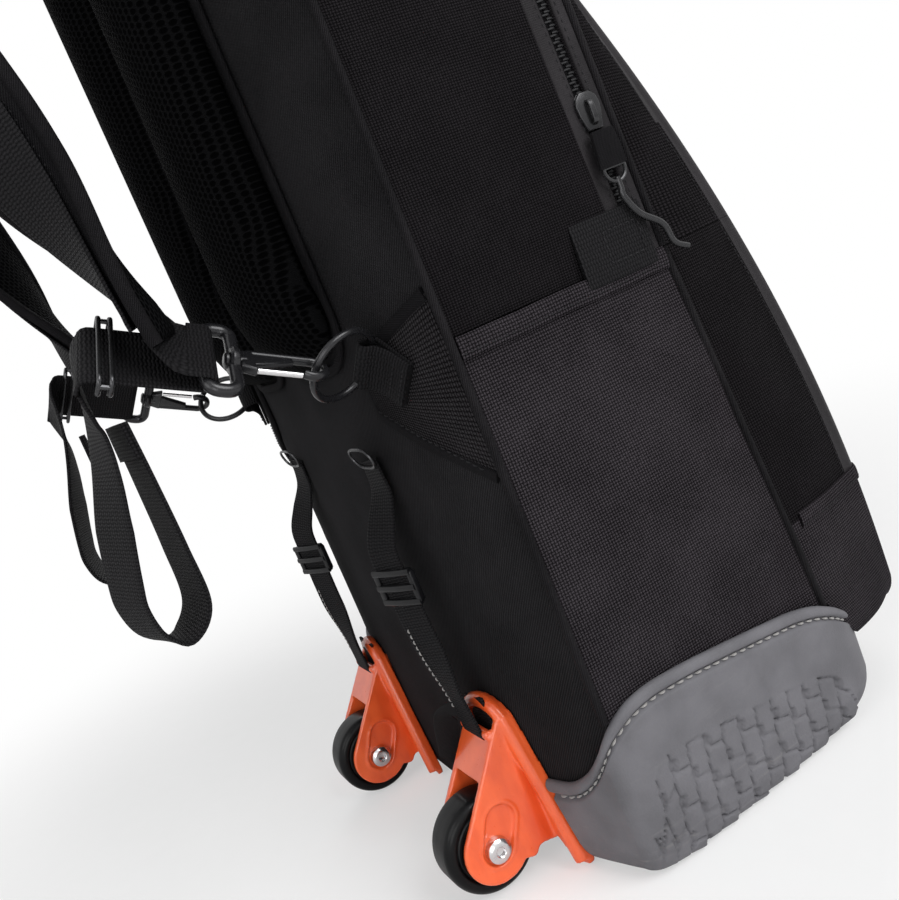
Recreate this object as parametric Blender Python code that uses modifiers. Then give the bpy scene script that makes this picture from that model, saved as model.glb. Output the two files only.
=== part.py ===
"""Soft wheeled golf travel case with a backpack harness, skate wheels and rubber corner boots.

Metres, +Z up. The case stands on its boots at z = 0. The front, with its pocket and its zipped
lid, faces -Y. The back, with the harness and the wheels, faces +Y. Every piece is drawn from the
back seam, where the back panel meets the side panels, and the empty named case carries that seam
so that the origin lies under the middle of the whole object. Left is the -X side.
"""

import math

import bmesh
import bpy
from mathutils import Matrix, Vector

# Case body
CASE_WIDTH = 0.360
BODY_HEIGHT = 1.225
TOP_CORNER_RADIUS = 0.090
FOOT_DEPTH = 0.172
LOWER_TAPER = 0.100
UPPER_TAPER = 0.045
SEAM_HEIGHT = 0.315
FOOT_RADIUS = 0.042
PANEL = 0.004
BACK_EDGE = 0.006
BACK_CROWN = 0.028
BASE_BOARD = 0.004
BOARD_MARGIN = 0.006
ZIP_INSET = 0.014
POCKET_DEPTH = 0.073
REAR_REACH = 0.186

# Clearances between pieces that touch, and round the lid's lower edge
GAP = 0.0003
LID_GAP = 0.0015

# Front pocket
POCKET_INSET = 0.014
POCKET_FOOT = 0.045
POCKET_SHOULDER = 0.080
POCKET_FALL = 0.60
POCKET_TOP = 0.500
POCKET_NOSE_GAP = 0.005

# Rubber boots
BOOT_SOLE = 0.0075
BOOT_WALL = 0.005
BOOT_FLANGE_GAP = 0.0015
BOOT_RIM = 0.104
BOOT_NOSE = 0.013
BOOT_BACK_RIM = 0.054
BOOT_INNER = 0.032
BOOT_BROW = ((0.080, 0.94), (-0.005, 0.96), (-0.030, 1.0), (-0.060, 1.0), (-0.095, 0.95))
BOOT_TOE = ((0.038, 0.88), (0.013, 0.71), (0.0, 0.50), (0.003, 0.26), (0.016, 0.09), (0.036, 0.0))
BOOT_HEEL = ((-0.020, 0.0), (0.014, 0.08), (0.080, 0.16))
BOOT_SWEEP = ((-0.080, 0.93), (0.0, 0.86), (0.004, 0.70), (0.012, 0.46), (0.024, 0.19), (0.036, 0.06),
              (0.050, 0.0), (0.080, 0.0))

# Air-mesh back pads
PAD_WIDTH = 0.094
PAD_GROOVE = 0.016
PAD_THICK = 0.040
PAD_FOOT = 0.322
PAD_HEAD_ROOM = 0.275
PAD_WAIST = 0.004

# Wheels and their brackets
WHEEL_TRACK = 0.187
WHEEL_DIAMETER = 0.060
WHEEL_WIDTH = 0.024
WHEEL_LIFT = 0.001
TYRE_WALL = 0.008
TYRE_ROUND = 0.55
HUB_DISH = 0.004
HUB_INSET = 0.001
HUB_BORE = 0.022
AXLE = 0.008
BORE_PLAY = 0.0004
CHEEK = 0.004
CHEEK_PLAY = 0.0026
AXLE_BOSS = 0.021
AXLE_BOSS_END = -130.0
CHEEK_SHARE = 1.65
CHEEK_APEX = 0.0055
CHEEK_FOOT = 0.006
CHEEK_NOTCH = (0.010, 0.017)
WEB = 0.003
WEB_INSET = 0.0025
WEB_SPAN = (0.25, 0.48)
FLANGE = 0.004
FLANGE_TOP_WIDTH = 0.037
FLANGE_FOOT_WIDTH = 0.086
FLANGE_FOOT = 0.002
FLANGE_RISE = 0.011
FLANGE_TONGUE = 0.014
FLANGE_ARCH = 0.018
WHEEL_CLEARANCE = 0.0016
BOLT_HEAD = 0.0156
BOLT_HEAD_HEIGHT = 0.004
BOLT_BEVEL = 0.35
HEX_KEY = 0.005
HEX_DEPTH = 0.6
NUT_FLATS = 0.013
NUT_HEIGHT = 0.0065
WHEEL_STEPS = 32

# Webbing that holds each bracket up, and its ladder-lock buckle
TIE_WIDTH = 0.025
WEBBING = 0.002
TIE_TOP = 0.264
TIE_LEAN = 0.100
TIE_BOW = 0.016
TIE_SEWN = 0.018
TIE_SWELL = 0.55
TIE_BAR = 0.006
TIE_BAR_DROP = 0.0065
BUCKLE_HEIGHT = 0.190
BUCKLE_LENGTH = 0.022
BUCKLE_RIM = 0.0045
BUCKLE_DEPTH = 0.012
BUCKLE_PLAY = 0.001

# Corner patches, rings and snap hooks
PATCH = 0.0025
PATCH_FOOT = 0.246
PATCH_TOP = 0.341
PATCH_INSET = 0.008
PATCH_TIP = 0.112
PATCH_TIP_WIDTH = 0.030
RING_X = 0.132
RING_HEIGHT = 0.319
RING_STAND = 0.0075
RING_RADIUS = 0.020
RING_WIRE = 0.004
RING_LEAN = (0.45, 0.87, 0.20)
RING_PLAY = 0.0009
PULL_ANGLE = 28.0
TAB_WIDTH = 0.026
TAB_HALF_HEIGHT = 0.0045
TAB_LENGTH = 0.040
HOOK_PLATE = 0.005
HOOK_BAR = 0.004
HOOK_THROAT = 0.0052
HOOK_TIP_ANGLE = 55.0
HOOK_STEM = 0.028
HOOK_BASE = 0.007
SWIVEL_PIN = 0.006
SWIVEL_HEAD = 0.002
EYE_BAR = 0.004
EYE_WINDOW = 0.0100
EYE_THICK = 0.005
EYE_BOSS = 0.014
EYE_TURN = 45.0
GATE_BAR = 0.003

# Shoulder straps
STRAP_WIDTH = 0.038
SHOULDER_RIM = 0.0085
SHOULDER_THICK = 0.014
SHOULDER_LEAN = 0.060
SHOULDER_FOOT = 0.408
SHOULDER_STAND = 0.12904237
SHOULDER_TURN = 15.0
SHOULDER_HEAD_ROOM = 0.180
SHOULDER_BENDS = ((0.154, 0.09), (0.159, 0.23), (0.160, 0.38), (0.145, 0.57), (0.108, 0.75))
SHOULDER_ROOT = ((0.050, 0.075), (-0.010, 0.0))
GLIDE_RIM = 0.006
GLIDE_DEPTH = 0.010
GLIDE_BAR = 0.004
GLIDE_PLAY = 0.001
RUN_SPARE = 0.011
GLIDE_SHARE = 0.878
LEG_DROP = 0.005
LEG_RUN = 0.010
TAIL_FOOT = 0.234
TAIL_X = 0.126
TAIL_BEND = 0.0045
TAIL_SLIP = 0.009
TAIL_TURN = 20.0
TAIL_BENDS = ((0.0205, 0.80), (0.0155, 0.62), (0.0085, 0.45), (0.002, 0.26), (0.0, 0.16), (0.0035, 0.054),
              (0.0145, 0.0), (0.0275, 0.087), (0.030, 0.30), (0.0315, 0.55))

# Zip ends on the two sides
ZIP_TAB_FOOT = 0.320
ZIP_TAB_TOP = 0.344
ZIP_TAB_WIDTH = 0.048
ZIP_TAB = 0.0028
SLIDER_HEIGHT = 0.395
SLIDER_LENGTH = 0.018
SLIDER_WIDTH = 0.012
SLIDER_THICK = 0.0067
SLIDER_SHAPE = ((-0.7, 0.0), (0.7, 0.0), (1.0, 0.6), (0.6, 1.0), (-0.6, 1.0), (-1.0, 0.6))
PULL_LENGTH = 0.0235
PULL_WIDTH = 0.012
PULL_THICK = 0.0025
PULL_NECK = 0.6
PULL_GAP = 0.0008
PULL_HOOK_WIRE = 0.0026
PULL_HOOK_DROP = 0.031
PULL_HOOK_SWING = 0.028
PULL_HOOK_BENDS = ((0.0, 0.0), (0.0, 0.15), (0.2, 0.4), (0.6, 0.62), (0.72, 0.88), (1.0, 1.0))

# Grab handle on the top
HANDLE_SPAN = 0.124
HANDLE_FOOT = 0.022
HANDLE_RISE = 0.034
HANDLE_WIDTH = 0.030
HANDLE_THICK = 0.004
HANDLE_BENDS = ((-1.0, 0.0), (-0.85, 0.55), (-0.45, 0.95), (0.0, 1.0), (0.45, 0.95), (0.85, 0.55), (1.0, 0.0))

HALF = CASE_WIDTH / 2
FRONT_REACH = FOOT_DEPTH + POCKET_DEPTH
FLOOR = BOOT_SOLE + GAP
ARCH_HEIGHT = BODY_HEIGHT - TOP_CORNER_RADIUS
WALL_BACK = -BACK_EDGE - GAP
LID_FOOT = SEAM_HEIGHT + LID_GAP
CASE_SEAM_Y = (FRONT_REACH - REAR_REACH) / 2
WHEEL_RADIUS = WHEEL_DIAMETER / 2
WHEEL_X = WHEEL_TRACK / 2
CHEEK_INNER = WHEEL_WIDTH / 2 + CHEEK_PLAY
CHEEK_OUTER = CHEEK_INNER + CHEEK
AXLE_HEIGHT = WHEEL_RADIUS + WHEEL_LIFT
CHEEK_TOP = WHEEL_DIAMETER * CHEEK_SHARE
FLANGE_TOP = CHEEK_TOP + FLANGE_RISE
TIE_BAR_HEIGHT = CHEEK_TOP - TIE_BAR_DROP
POCKET_HALF = HALF - POCKET_INSET
PAD_TOP = BODY_HEIGHT - PAD_HEAD_ROOM
SHOULDER_TOP = BODY_HEIGHT - SHOULDER_HEAD_ROOM
SHOULDER_HALF = STRAP_WIDTH / 2 + SHOULDER_RIM
STRAP_X = RING_X + 2 * RING_RADIUS * RING_LEAN[0]
STRAP_RUN = STRAP_WIDTH + RUN_SPARE
SHOULDER_SET = BACK_CROWN * (1 - (RING_X / HALF) ** 3) + SHOULDER_STAND
FAR = 0.080
SIDES = {"left": -1, "right": 1}
CORNERS = ((-1, -1), (1, -1), (1, 1), (-1, 1))
RADIANS = math.radians

FINISHES = {
    "weave": ((0.016, 0.014, 0.016), 0.75, 0.0),
    "twill": ((0.008, 0.008, 0.009), 0.80, 0.0),
    "coated": ((0.030, 0.027, 0.030), 0.55, 0.0),
    "mesh": ((0.010, 0.010, 0.010), 0.90, 0.0),
    "webbing": ((0.012, 0.012, 0.013), 0.70, 0.0),
    "board": ((0.030, 0.030, 0.030), 0.60, 0.0),
    "rubber": ((0.105, 0.105, 0.110), 0.65, 0.0),
    "orange": ((0.805, 0.080, 0.017), 0.28, 0.0),
    "tyre": ((0.012, 0.012, 0.013), 0.35, 0.0),
    "hub": ((0.016, 0.016, 0.017), 0.40, 0.0),
    "chrome": ((0.780, 0.780, 0.800), 0.18, 1.0),
    "black_metal": ((0.020, 0.020, 0.022), 0.30, 0.8),
    "moulded": ((0.014, 0.014, 0.015), 0.45, 0.0),
}


def clear_scene():
    """Start from an empty scene and give back the collections and the carrying empty."""
    for old in list(bpy.data.objects):
        bpy.data.objects.remove(old)
    parts = bpy.data.collections.new("golf_travel_case")
    cutters = bpy.data.collections.new("cutters")
    for group in (parts, cutters):
        bpy.context.scene.collection.children.link(group)
    case = bpy.data.objects.new("case", None)
    case.location = (0, CASE_SEAM_Y, 0)
    parts.objects.link(case)
    return parts, cutters, case


PARTS, CUTTERS, CASE = clear_scene()


def material(name):
    """The Principled material of one finish, made on first use."""
    if name in bpy.data.materials:
        return bpy.data.materials[name]
    colour, roughness, metallic = FINISHES[name]
    made = bpy.data.materials.new(name)
    made.use_nodes = True
    shader = made.node_tree.nodes["Principled BSDF"]
    shader.inputs["Base Color"].default_value = (*colour, 1)
    shader.inputs["Roughness"].default_value = roughness
    shader.inputs["Metallic"].default_value = metallic
    made.diffuse_color = (*colour, 1)
    return made


def tidy_mesh(mesh):
    """Weld loose caps and point every face outward."""
    work = bmesh.new()
    work.from_mesh(mesh)
    bmesh.ops.remove_doubles(work, verts=work.verts, dist=1e-6)
    bmesh.ops.recalc_face_normals(work, faces=work.faces)
    work.to_mesh(mesh)
    work.free()
    return mesh


def piece(name, mesh, finish, pivot=(0, 0, 0)):
    """One sub-part of the case, with its origin on the pivot."""
    tidy_mesh(mesh)
    mesh.transform(Matrix.Translation(-Vector(pivot)))
    mesh.materials.append(material(finish))
    mesh.shade_smooth()
    mesh.set_sharp_from_angle(angle=RADIANS(35))
    made = bpy.data.objects.new(name, mesh)
    made.location = pivot
    made.parent = CASE
    PARTS.objects.link(made)
    return made


def cutter(name, mesh):
    """A hidden solid that trims other pieces."""
    tidy_mesh(mesh)
    made = bpy.data.objects.new(name, mesh)
    made.parent = CASE
    made.hide_render = True
    made.display_type = "WIRE"
    CUTTERS.objects.link(made)
    return made


def trim(target, tool, operation="DIFFERENCE"):
    """Cut a piece with a hidden solid, or join the two."""
    step = target.modifiers.new(tool.name, "BOOLEAN")
    step.operation = operation
    step.object = tool
    return target


def evaluated(holder):
    """The mesh that an object shows, with the object itself taken away."""
    bpy.context.scene.collection.objects.link(holder)
    graph = bpy.context.evaluated_depsgraph_get()
    mesh = bpy.data.meshes.new_from_object(holder.evaluated_get(graph))
    bpy.data.objects.remove(holder)
    return mesh


TURNS = {
    "X": Matrix(((0, 0, 1, 0), (1, 0, 0, 0), (0, 1, 0, 0), (0, 0, 0, 1))),
    "Y": Matrix(((1, 0, 0, 0), (0, 0, -1, 0), (0, 1, 0, 0), (0, 0, 0, 1))),
    "Z": Matrix.Identity(4),
}


def slab(axis, low, high, *outlines):
    """A flat outline, with holes, pulled from low to high along one axis.

    Along X the outline is (y, z), along Y it is (x, z) and along Z it is (x, y).
    """
    curve = bpy.data.curves.new("outline", "CURVE")
    curve.dimensions = "2D"
    curve.fill_mode = "BOTH"
    curve.extrude = abs(high - low) / 2
    for outline in outlines:
        spline = curve.splines.new("POLY")
        spline.points.add(len(outline) - 1)
        for point, (across, up) in zip(spline.points, outline):
            point.co = (across, up, 0, 1)
        spline.use_cyclic_u = True
    mesh = evaluated(bpy.data.objects.new("outline", curve))
    middle = (low + high) / 2
    mesh.transform(TURNS[axis] @ Matrix.Translation((0, 0, -middle if axis == "Y" else middle)))
    return mesh


def turned(profile, steps, matrix):
    """A profile of (radius, height) pairs turned about Z, then set in place.

    A profile that leaves the axis is closed on itself and makes a ring.
    """
    mesh = bpy.data.meshes.new("profile")
    count = len(profile)
    edges = [(index, index + 1) for index in range(count - 1)]
    if profile[0][0] > 0:
        edges.append((count - 1, 0))
    mesh.from_pydata([(radius, 0, height) for radius, height in profile], edges, [])
    holder = bpy.data.objects.new("profile", mesh)
    screw = holder.modifiers.new("turn", "SCREW")
    screw.steps = steps
    screw.render_steps = steps
    screw.use_merge_vertices = True
    screw.merge_threshold = 1e-5
    made = evaluated(holder)
    made.transform(matrix)
    return made


def tube(points, diameter, resolution=1):
    """A round wire along a line of points."""
    curve = bpy.data.curves.new("wire", "CURVE")
    curve.dimensions = "3D"
    curve.bevel_depth = diameter / 2
    curve.bevel_resolution = resolution
    curve.use_fill_caps = True
    spline = curve.splines.new("POLY")
    spline.points.add(len(points) - 1)
    for point, place in zip(spline.points, points):
        point.co = (*place, 1)
    return evaluated(bpy.data.objects.new("wire", curve))


def rod(radius, low, high):
    """Profile of a plain round rod between two heights."""
    return [(0, high), (radius, high), (radius, low), (0, low)]


def arc(centre, radius, start, end, steps):
    """Points on a circle from one angle to another, in degrees."""
    angles = [RADIANS(start + (end - start) * step / steps) for step in range(steps + 1)]
    return [(centre[0] + radius * math.cos(a), centre[1] + radius * math.sin(a)) for a in angles]


def circle(centre, radius, steps):
    """A closed circle of points."""
    return arc(centre, radius, 0, 360, steps)[:-1]


def smooth(points, steps):
    """A smooth curve through every point of a route."""
    ends = [points[0], *points, points[-1]]
    route = [points[0]]
    for before, start, end, after in zip(ends, ends[1:], ends[2:], ends[3:]):
        for step in range(1, steps + 1):
            t = step / steps
            route.append(tuple(
                0.5 * (2 * q + (r - p) * t + (2 * p - 5 * q + 4 * r - s) * t**2
                       + (3 * q - p - 3 * r + s) * t**3)
                for p, q, r, s in zip(before, start, end, after)))
    return route


def band(path, thickness):
    """Outline of a strip of even thickness whose middle follows a path."""
    left, right = [], []
    for index, point in enumerate(path):
        before = Vector(path[max(index - 1, 0)])
        after = Vector(path[min(index + 1, len(path) - 1)])
        here = Vector(point)
        first = (here - before).normalized() if index else (after - here).normalized()
        last = (after - here).normalized() if index < len(path) - 1 else first
        along = (first + last).normalized()
        mitre = thickness / 2 / max(along.dot(first), 0.5)
        side = Vector((-along.y, along.x)) * mitre
        left.append(tuple(here + side))
        right.append(tuple(here - side))
    return left + right[::-1]


def ribbon(path, ways, width, thickness):
    """A strip of even section along a path, whose width follows one direction per point."""
    last = len(path) - 1
    corners = []
    for index, (here, way) in enumerate(zip(path, ways)):
        along = (path[min(index + 1, last)] - path[max(index - 1, 0)]).normalized()
        across = (way - along * way.dot(along)).normalized()
        rise = along.cross(across)
        corners += [here + across * (a * width / 2) + rise * (b * thickness / 2) for a, b in CORNERS]
    faces = [(4 * index + a, 4 * index + b, 4 * index + 4 + b, 4 * index + 4 + a)
             for index in range(last) for a, b in ((0, 1), (1, 2), (2, 3), (3, 0))]
    mesh = bpy.data.meshes.new("ribbon")
    mesh.from_pydata(corners, [], [*faces, (3, 2, 1, 0), tuple(range(4 * last, 4 * last + 4))])
    work = bmesh.new()
    work.from_mesh(mesh)
    bmesh.ops.triangulate(work, faces=work.faces)
    work.to_mesh(mesh)
    work.free()
    return mesh


def lean(mesh, rate, height):
    """Shift a mesh along X by a share of how far each point lies above a height."""
    shear = Matrix.Identity(4)
    shear[0][2] = rate
    shear[0][3] = -rate * height
    mesh.transform(shear)
    return mesh


def frame_of(origin, first, third):
    """A placing matrix whose X runs along first and whose Z runs along third."""
    second = third.cross(first)
    matrix = Matrix((first, second, third)).transposed().to_4x4()
    matrix.translation = origin
    return matrix


def crown(x, proud=0.0):
    """Depth of the padded back face behind the back seam."""
    return BACK_CROWN * (1 - abs(x / HALF) ** 3) + proud


def crown_solid(proud):
    """Everything in front of the back face, grown by a little."""
    reach = HALF * 1.2
    steps = 36
    rim = [reach * (2 * step / steps - 1) for step in range(steps + 1)]
    front = -FOOT_DEPTH - FAR
    outline = [(x, crown(x, proud)) for x in rim] + [(reach, front), (-reach, front)]
    return slab("Z", -FAR, BODY_HEIGHT + FAR, outline)


CROWNS = {
    "face": cutter("crown_face", crown_solid(0)),
    "fit": cutter("crown_fit", crown_solid(GAP)),
    "boot": cutter("crown_boot", crown_solid(BOOT_WALL)),
    "patch": cutter("crown_patch", crown_solid(GAP + PATCH)),
    "tab": cutter("crown_tab", crown_solid(2 * GAP + PATCH)),
    "flange": cutter("crown_flange", crown_solid(GAP + FLANGE)),
}


def front_seam(z):
    """Y of the front seam, which leans back as it rises."""
    lower = FOOT_DEPTH - LOWER_TAPER * min(z, SEAM_HEIGHT)
    return -(lower - UPPER_TAPER * max(z - SEAM_HEIGHT, 0))


def zip_line(z):
    """Y of the zip that parts the lid from the side panels."""
    return front_seam(z) + ZIP_INSET


def pocket_front(z):
    """Y of the pocket's front face, which falls back above its shoulder."""
    return POCKET_FALL * max(z - POCKET_SHOULDER, 0) ** 2 - FRONT_REACH


def body_outline(inset, foot):
    """Face outline of the case: straight sides with a round-cornered top."""
    side = HALF - inset
    radius = TOP_CORNER_RADIUS - inset
    right = arc((HALF - TOP_CORNER_RADIUS, ARCH_HEIGHT), radius, 0, 90, 8)
    left = arc((TOP_CORNER_RADIUS - HALF, ARCH_HEIGHT), radius, 90, 180, 8)
    return [(side, foot), *right, *left, (-side, foot)]


def strip(foot, top, front, back):
    """Side outline of a wall between two lines that depend on height."""
    return [(front(foot), foot), (back(foot), foot), (back(top), top), (front(top), top)]


def kick_outline(grow, back):
    """Side outline of the case below the seam, rounded at its front foot."""
    radius = FOOT_RADIUS + grow
    centre = (front_seam(FLOOR + FOOT_RADIUS) + FOOT_RADIUS, FLOOR + FOOT_RADIUS)
    top = SEAM_HEIGHT - GAP
    toe = arc(centre, radius, 270, 180, 8)
    return [(back, FLOOR - grow), *toe, (front_seam(top) - grow, top), (back, top)]


def build_walls():
    """The sewn panels that stay put: back, sides, top, foot and lower front."""
    face = slab("Y", -BACK_EDGE, BACK_CROWN + FAR, body_outline(0, FLOOR))
    trim(piece("back_panel", face, "twill"), CROWNS["face"], "INTERSECT")
    for side, sign in SIDES.items():
        outer, inner = sign * HALF, sign * (HALF - PANEL)
        low, high = min(outer, inner), max(outer, inner)
        upper = strip(SEAM_HEIGHT, ARCH_HEIGHT - GAP, zip_line, lambda z: WALL_BACK)
        piece(f"side_panel_{side}", slab("X", low, high, upper), "weave")
        piece(f"side_kick_{side}", slab("X", low, high, kick_outline(0, WALL_BACK)), "weave")
    arch = body_outline(0, ARCH_HEIGHT) + body_outline(PANEL, ARCH_HEIGHT)[::-1]
    top = piece("top_panel", slab("Y", -FOOT_DEPTH, WALL_BACK, arch), "weave")
    above = strip(SEAM_HEIGHT, BODY_HEIGHT + FAR, zip_line, lambda z: FAR)
    trim(top, cutter("zip_side", slab("X", -CASE_WIDTH, CASE_WIDTH, above)), "INTERSECT")
    inside = HALF - PANEL - GAP
    centre = (front_seam(FLOOR + FOOT_RADIUS) + FOOT_RADIUS, FLOOR + FOOT_RADIUS)
    foot = [(WALL_BACK, FLOOR + PANEL / 2), *arc(centre, FOOT_RADIUS - PANEL / 2, 270, 180, 8)]
    piece("bottom_panel", slab("X", -inside, inside, band(foot, PANEL)), "twill")
    shin = FLOOR + FOOT_RADIUS + GAP
    lower = strip(shin, SEAM_HEIGHT - GAP, front_seam, lambda z: front_seam(z) + PANEL)
    piece("front_lower_panel", slab("X", -inside, inside, lower), "twill")
    board_foot = FLOOR + PANEL + GAP
    board_top = board_foot + BASE_BOARD
    board_back = WALL_BACK - BOARD_MARGIN
    board = [(y, z) for y, z in zip((board_back, board_back, centre[0], centre[0]),
                                    (board_foot, board_top, board_top, board_foot))]
    piece("base_board", slab("X", BOARD_MARGIN - inside, inside - BOARD_MARGIN, board), "board")


def lid_pivot():
    """The lid folds down on the pocket's front face, at the height of the side seam."""
    return (0, pocket_front(SEAM_HEIGHT), SEAM_HEIGHT)


def build_lid():
    """The zipped front lid: its panel, its round gusset and the pocket on it."""
    pivot = lid_pivot()
    front = slab("Y", -FRONT_REACH, 0, body_outline(0, LID_FOOT))
    plate = strip(SEAM_HEIGHT, BODY_HEIGHT + FAR, front_seam, lambda z: front_seam(z) + PANEL)
    panel = piece("lid_panel", front, "twill", pivot)
    trim(panel, cutter("lid_plane", slab("X", -CASE_WIDTH, CASE_WIDTH, plate)), "INTERSECT")
    ring = body_outline(0, LID_FOOT) + body_outline(PANEL, LID_FOOT)[::-1]
    gusset = piece("lid_gusset", slab("Y", -FRONT_REACH, 0, ring), "weave", pivot)
    edge = strip(SEAM_HEIGHT, BODY_HEIGHT + FAR,
                 lambda z: front_seam(z) + PANEL + GAP, lambda z: zip_line(z) - GAP)
    trim(gusset, cutter("lid_edge", slab("X", -CASE_WIDTH, CASE_WIDTH, edge)), "INTERSECT")
    steps = 8
    heights = [LID_FOOT + (POCKET_TOP - LID_FOOT) * step / steps for step in range(steps + 1)]
    bulge = [(pocket_front(z), z) for z in heights]
    bulge += [(front_seam(z) - GAP, z) for z in (POCKET_TOP, LID_FOOT)]
    piece("lid_pocket", slab("X", -POCKET_HALF, POCKET_HALF, bulge), "coated", pivot)


def build_pocket():
    """The front pocket below the lid's fold, whose underside slopes over the boots."""
    top = SEAM_HEIGHT - LID_GAP
    steps = 6
    heights = [POCKET_SHOULDER + (top - POCKET_SHOULDER) * step / steps for step in range(steps + 1)]
    face = [(-FRONT_REACH, POCKET_FOOT + POCKET_NOSE_GAP), *((pocket_front(z), z) for z in heights)]
    nose = front_seam(BOOT_RIM / 2) - BOOT_NOSE - POCKET_NOSE_GAP
    underside = BOOT_RIM - BOOT_NOSE
    outline = [*face, (front_seam(top) - GAP, top), (front_seam(underside) - GAP, underside),
               (nose, POCKET_FOOT), (POCKET_NOSE_GAP - FRONT_REACH, POCKET_FOOT)]
    piece("front_pocket", slab("X", -POCKET_HALF, POCKET_HALF, outline), "coated")


def boot_outline():
    """Side outline of a boot: a low arched rim, a round nose and a flat sole."""
    nose = front_seam(BOOT_RIM / 2) - BOOT_NOSE
    brow = [(y, BOOT_RIM * share) for y, share in BOOT_BROW]
    toe = [(nose + y, BOOT_RIM * share) for y, share in BOOT_TOE]
    heel = [(y, BOOT_RIM * share) for y, share in BOOT_HEEL]
    return brow + toe + heel


def build_boots():
    """One rubber cup over each lower corner, with its rim dropping across the back face."""
    filling = cutter("case_foot", slab("X", -HALF - GAP, HALF + GAP, kick_outline(GAP, FAR)))
    trim(filling, CROWNS["fit"], "INTERSECT")
    fall = BOOT_RIM - BOOT_BACK_RIM
    above = BOOT_RIM + FAR
    drop = [(HALF - inset, BOOT_BACK_RIM + share * fall) for inset, share in BOOT_SWEEP]
    drop += [(HALF - FAR, above), (HALF + FAR, above)]
    for side, sign in SIDES.items():
        ends = sorted((sign * (HALF + BOOT_WALL), sign * (WHEEL_X + BOOT_INNER)))
        boot = piece(f"boot_{side}", slab("X", *ends, boot_outline()), "rubber")
        trim(boot, CROWNS["boot"], "INTERSECT")
        trim(boot, filling)
        sweep = slab("Y", -BACK_EDGE, FAR, [(sign * x, z) for x, z in drop])
        trim(boot, cutter(f"boot_sweep_{side}", sweep))
        room = slab("Y", -BACK_EDGE, FAR, flange_outline(sign, BOOT_FLANGE_GAP))
        trim(boot, cutter(f"boot_room_{side}", room))


def build_pads():
    """Two crowned air-mesh pads on the back, with drawn-in sides and a groove between them."""
    length = PAD_TOP - PAD_FOOT
    for side, sign in SIDES.items():
        work = bmesh.new()
        bmesh.ops.create_cube(work, size=1)
        bmesh.ops.subdivide_edges(work, edges=work.edges, cuts=3, use_grid_fill=True)
        for corner in work.verts:
            waist = 1 - abs(corner.co.z) * 2
            corner.co.x *= PAD_WIDTH - PAD_WAIST * waist
            corner.co.y *= 2 * PAD_THICK
            corner.co.z *= length
        mesh = bpy.data.meshes.new("pad")
        work.to_mesh(mesh)
        work.free()
        holder = bpy.data.objects.new("pad", mesh)
        soften = holder.modifiers.new("soften", "SUBSURF")
        soften.levels = 1
        soften.render_levels = 1
        made = evaluated(holder)
        middle = sign * (PAD_GROOVE + PAD_WIDTH) / 2
        made.transform(Matrix.Translation((middle, crown(middle), PAD_FOOT + length / 2)))
        trim(piece(f"back_pad_{side}", made, "mesh"), CROWNS["fit"])


def axle_frame(sign):
    """Placing of a wheel part: its Z runs along the axle, toward the bolt's head on the left."""
    return frame_of(Vector((sign * WHEEL_X, axle_y(), AXLE_HEIGHT)), Vector((0, 0, 1)), Vector((-1, 0, 0)))


def flange_face(inner):
    """Y of the bracket flange's outer face, at a distance from the wheel toward the middle."""
    return crown(WHEEL_X - inner) + GAP + FLANGE


def axle_y():
    """The wheel just clears the flange that carries it."""
    return flange_face(WHEEL_WIDTH / 2) + WHEEL_CLEARANCE + WHEEL_RADIUS


def flange_outline(sign, grow):
    """Face outline of a bracket's flange: a round top that flares to two tongues at the foot."""
    top, foot = FLANGE_TOP_WIDTH / 2 + grow, FLANGE_FOOT_WIDTH / 2 + grow
    corner = FLANGE_TOP_WIDTH / 3
    head = arc((top - corner, FLANGE_TOP - corner), corner + grow, 20, 90, 4)
    tongue = [(foot - FLANGE_TONGUE, FLANGE_FOOT - grow), (foot, FLANGE_FOOT - grow)]
    half = [(CHEEK_OUTER, FLANGE_ARCH), *tongue, *head]
    outline = half + [(-x, z) for x, z in half[::-1]]
    return [(sign * WHEEL_X + x, z) for x, z in outline]


def cheek_outline():
    """Side outline of a bracket's cheek, and the straight line along its rear edge."""
    face, axle = flange_face(0), (axle_y(), AXLE_HEIGHT)
    apex = (face + CHEEK_APEX, CHEEK_TOP)
    rise = Vector(apex) - Vector(axle)
    touch = math.degrees(math.atan2(rise.y, rise.x) - math.acos(AXLE_BOSS / rise.length))
    boss = arc(axle, AXLE_BOSS, touch, AXLE_BOSS_END, 14)
    notch = (face + CHEEK_NOTCH[0], CHEEK_NOTCH[1])
    return [(0, CHEEK_TOP), apex, *boss, notch, (face, CHEEK_FOOT), (0, CHEEK_FOOT)], (apex, boss[0])


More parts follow.
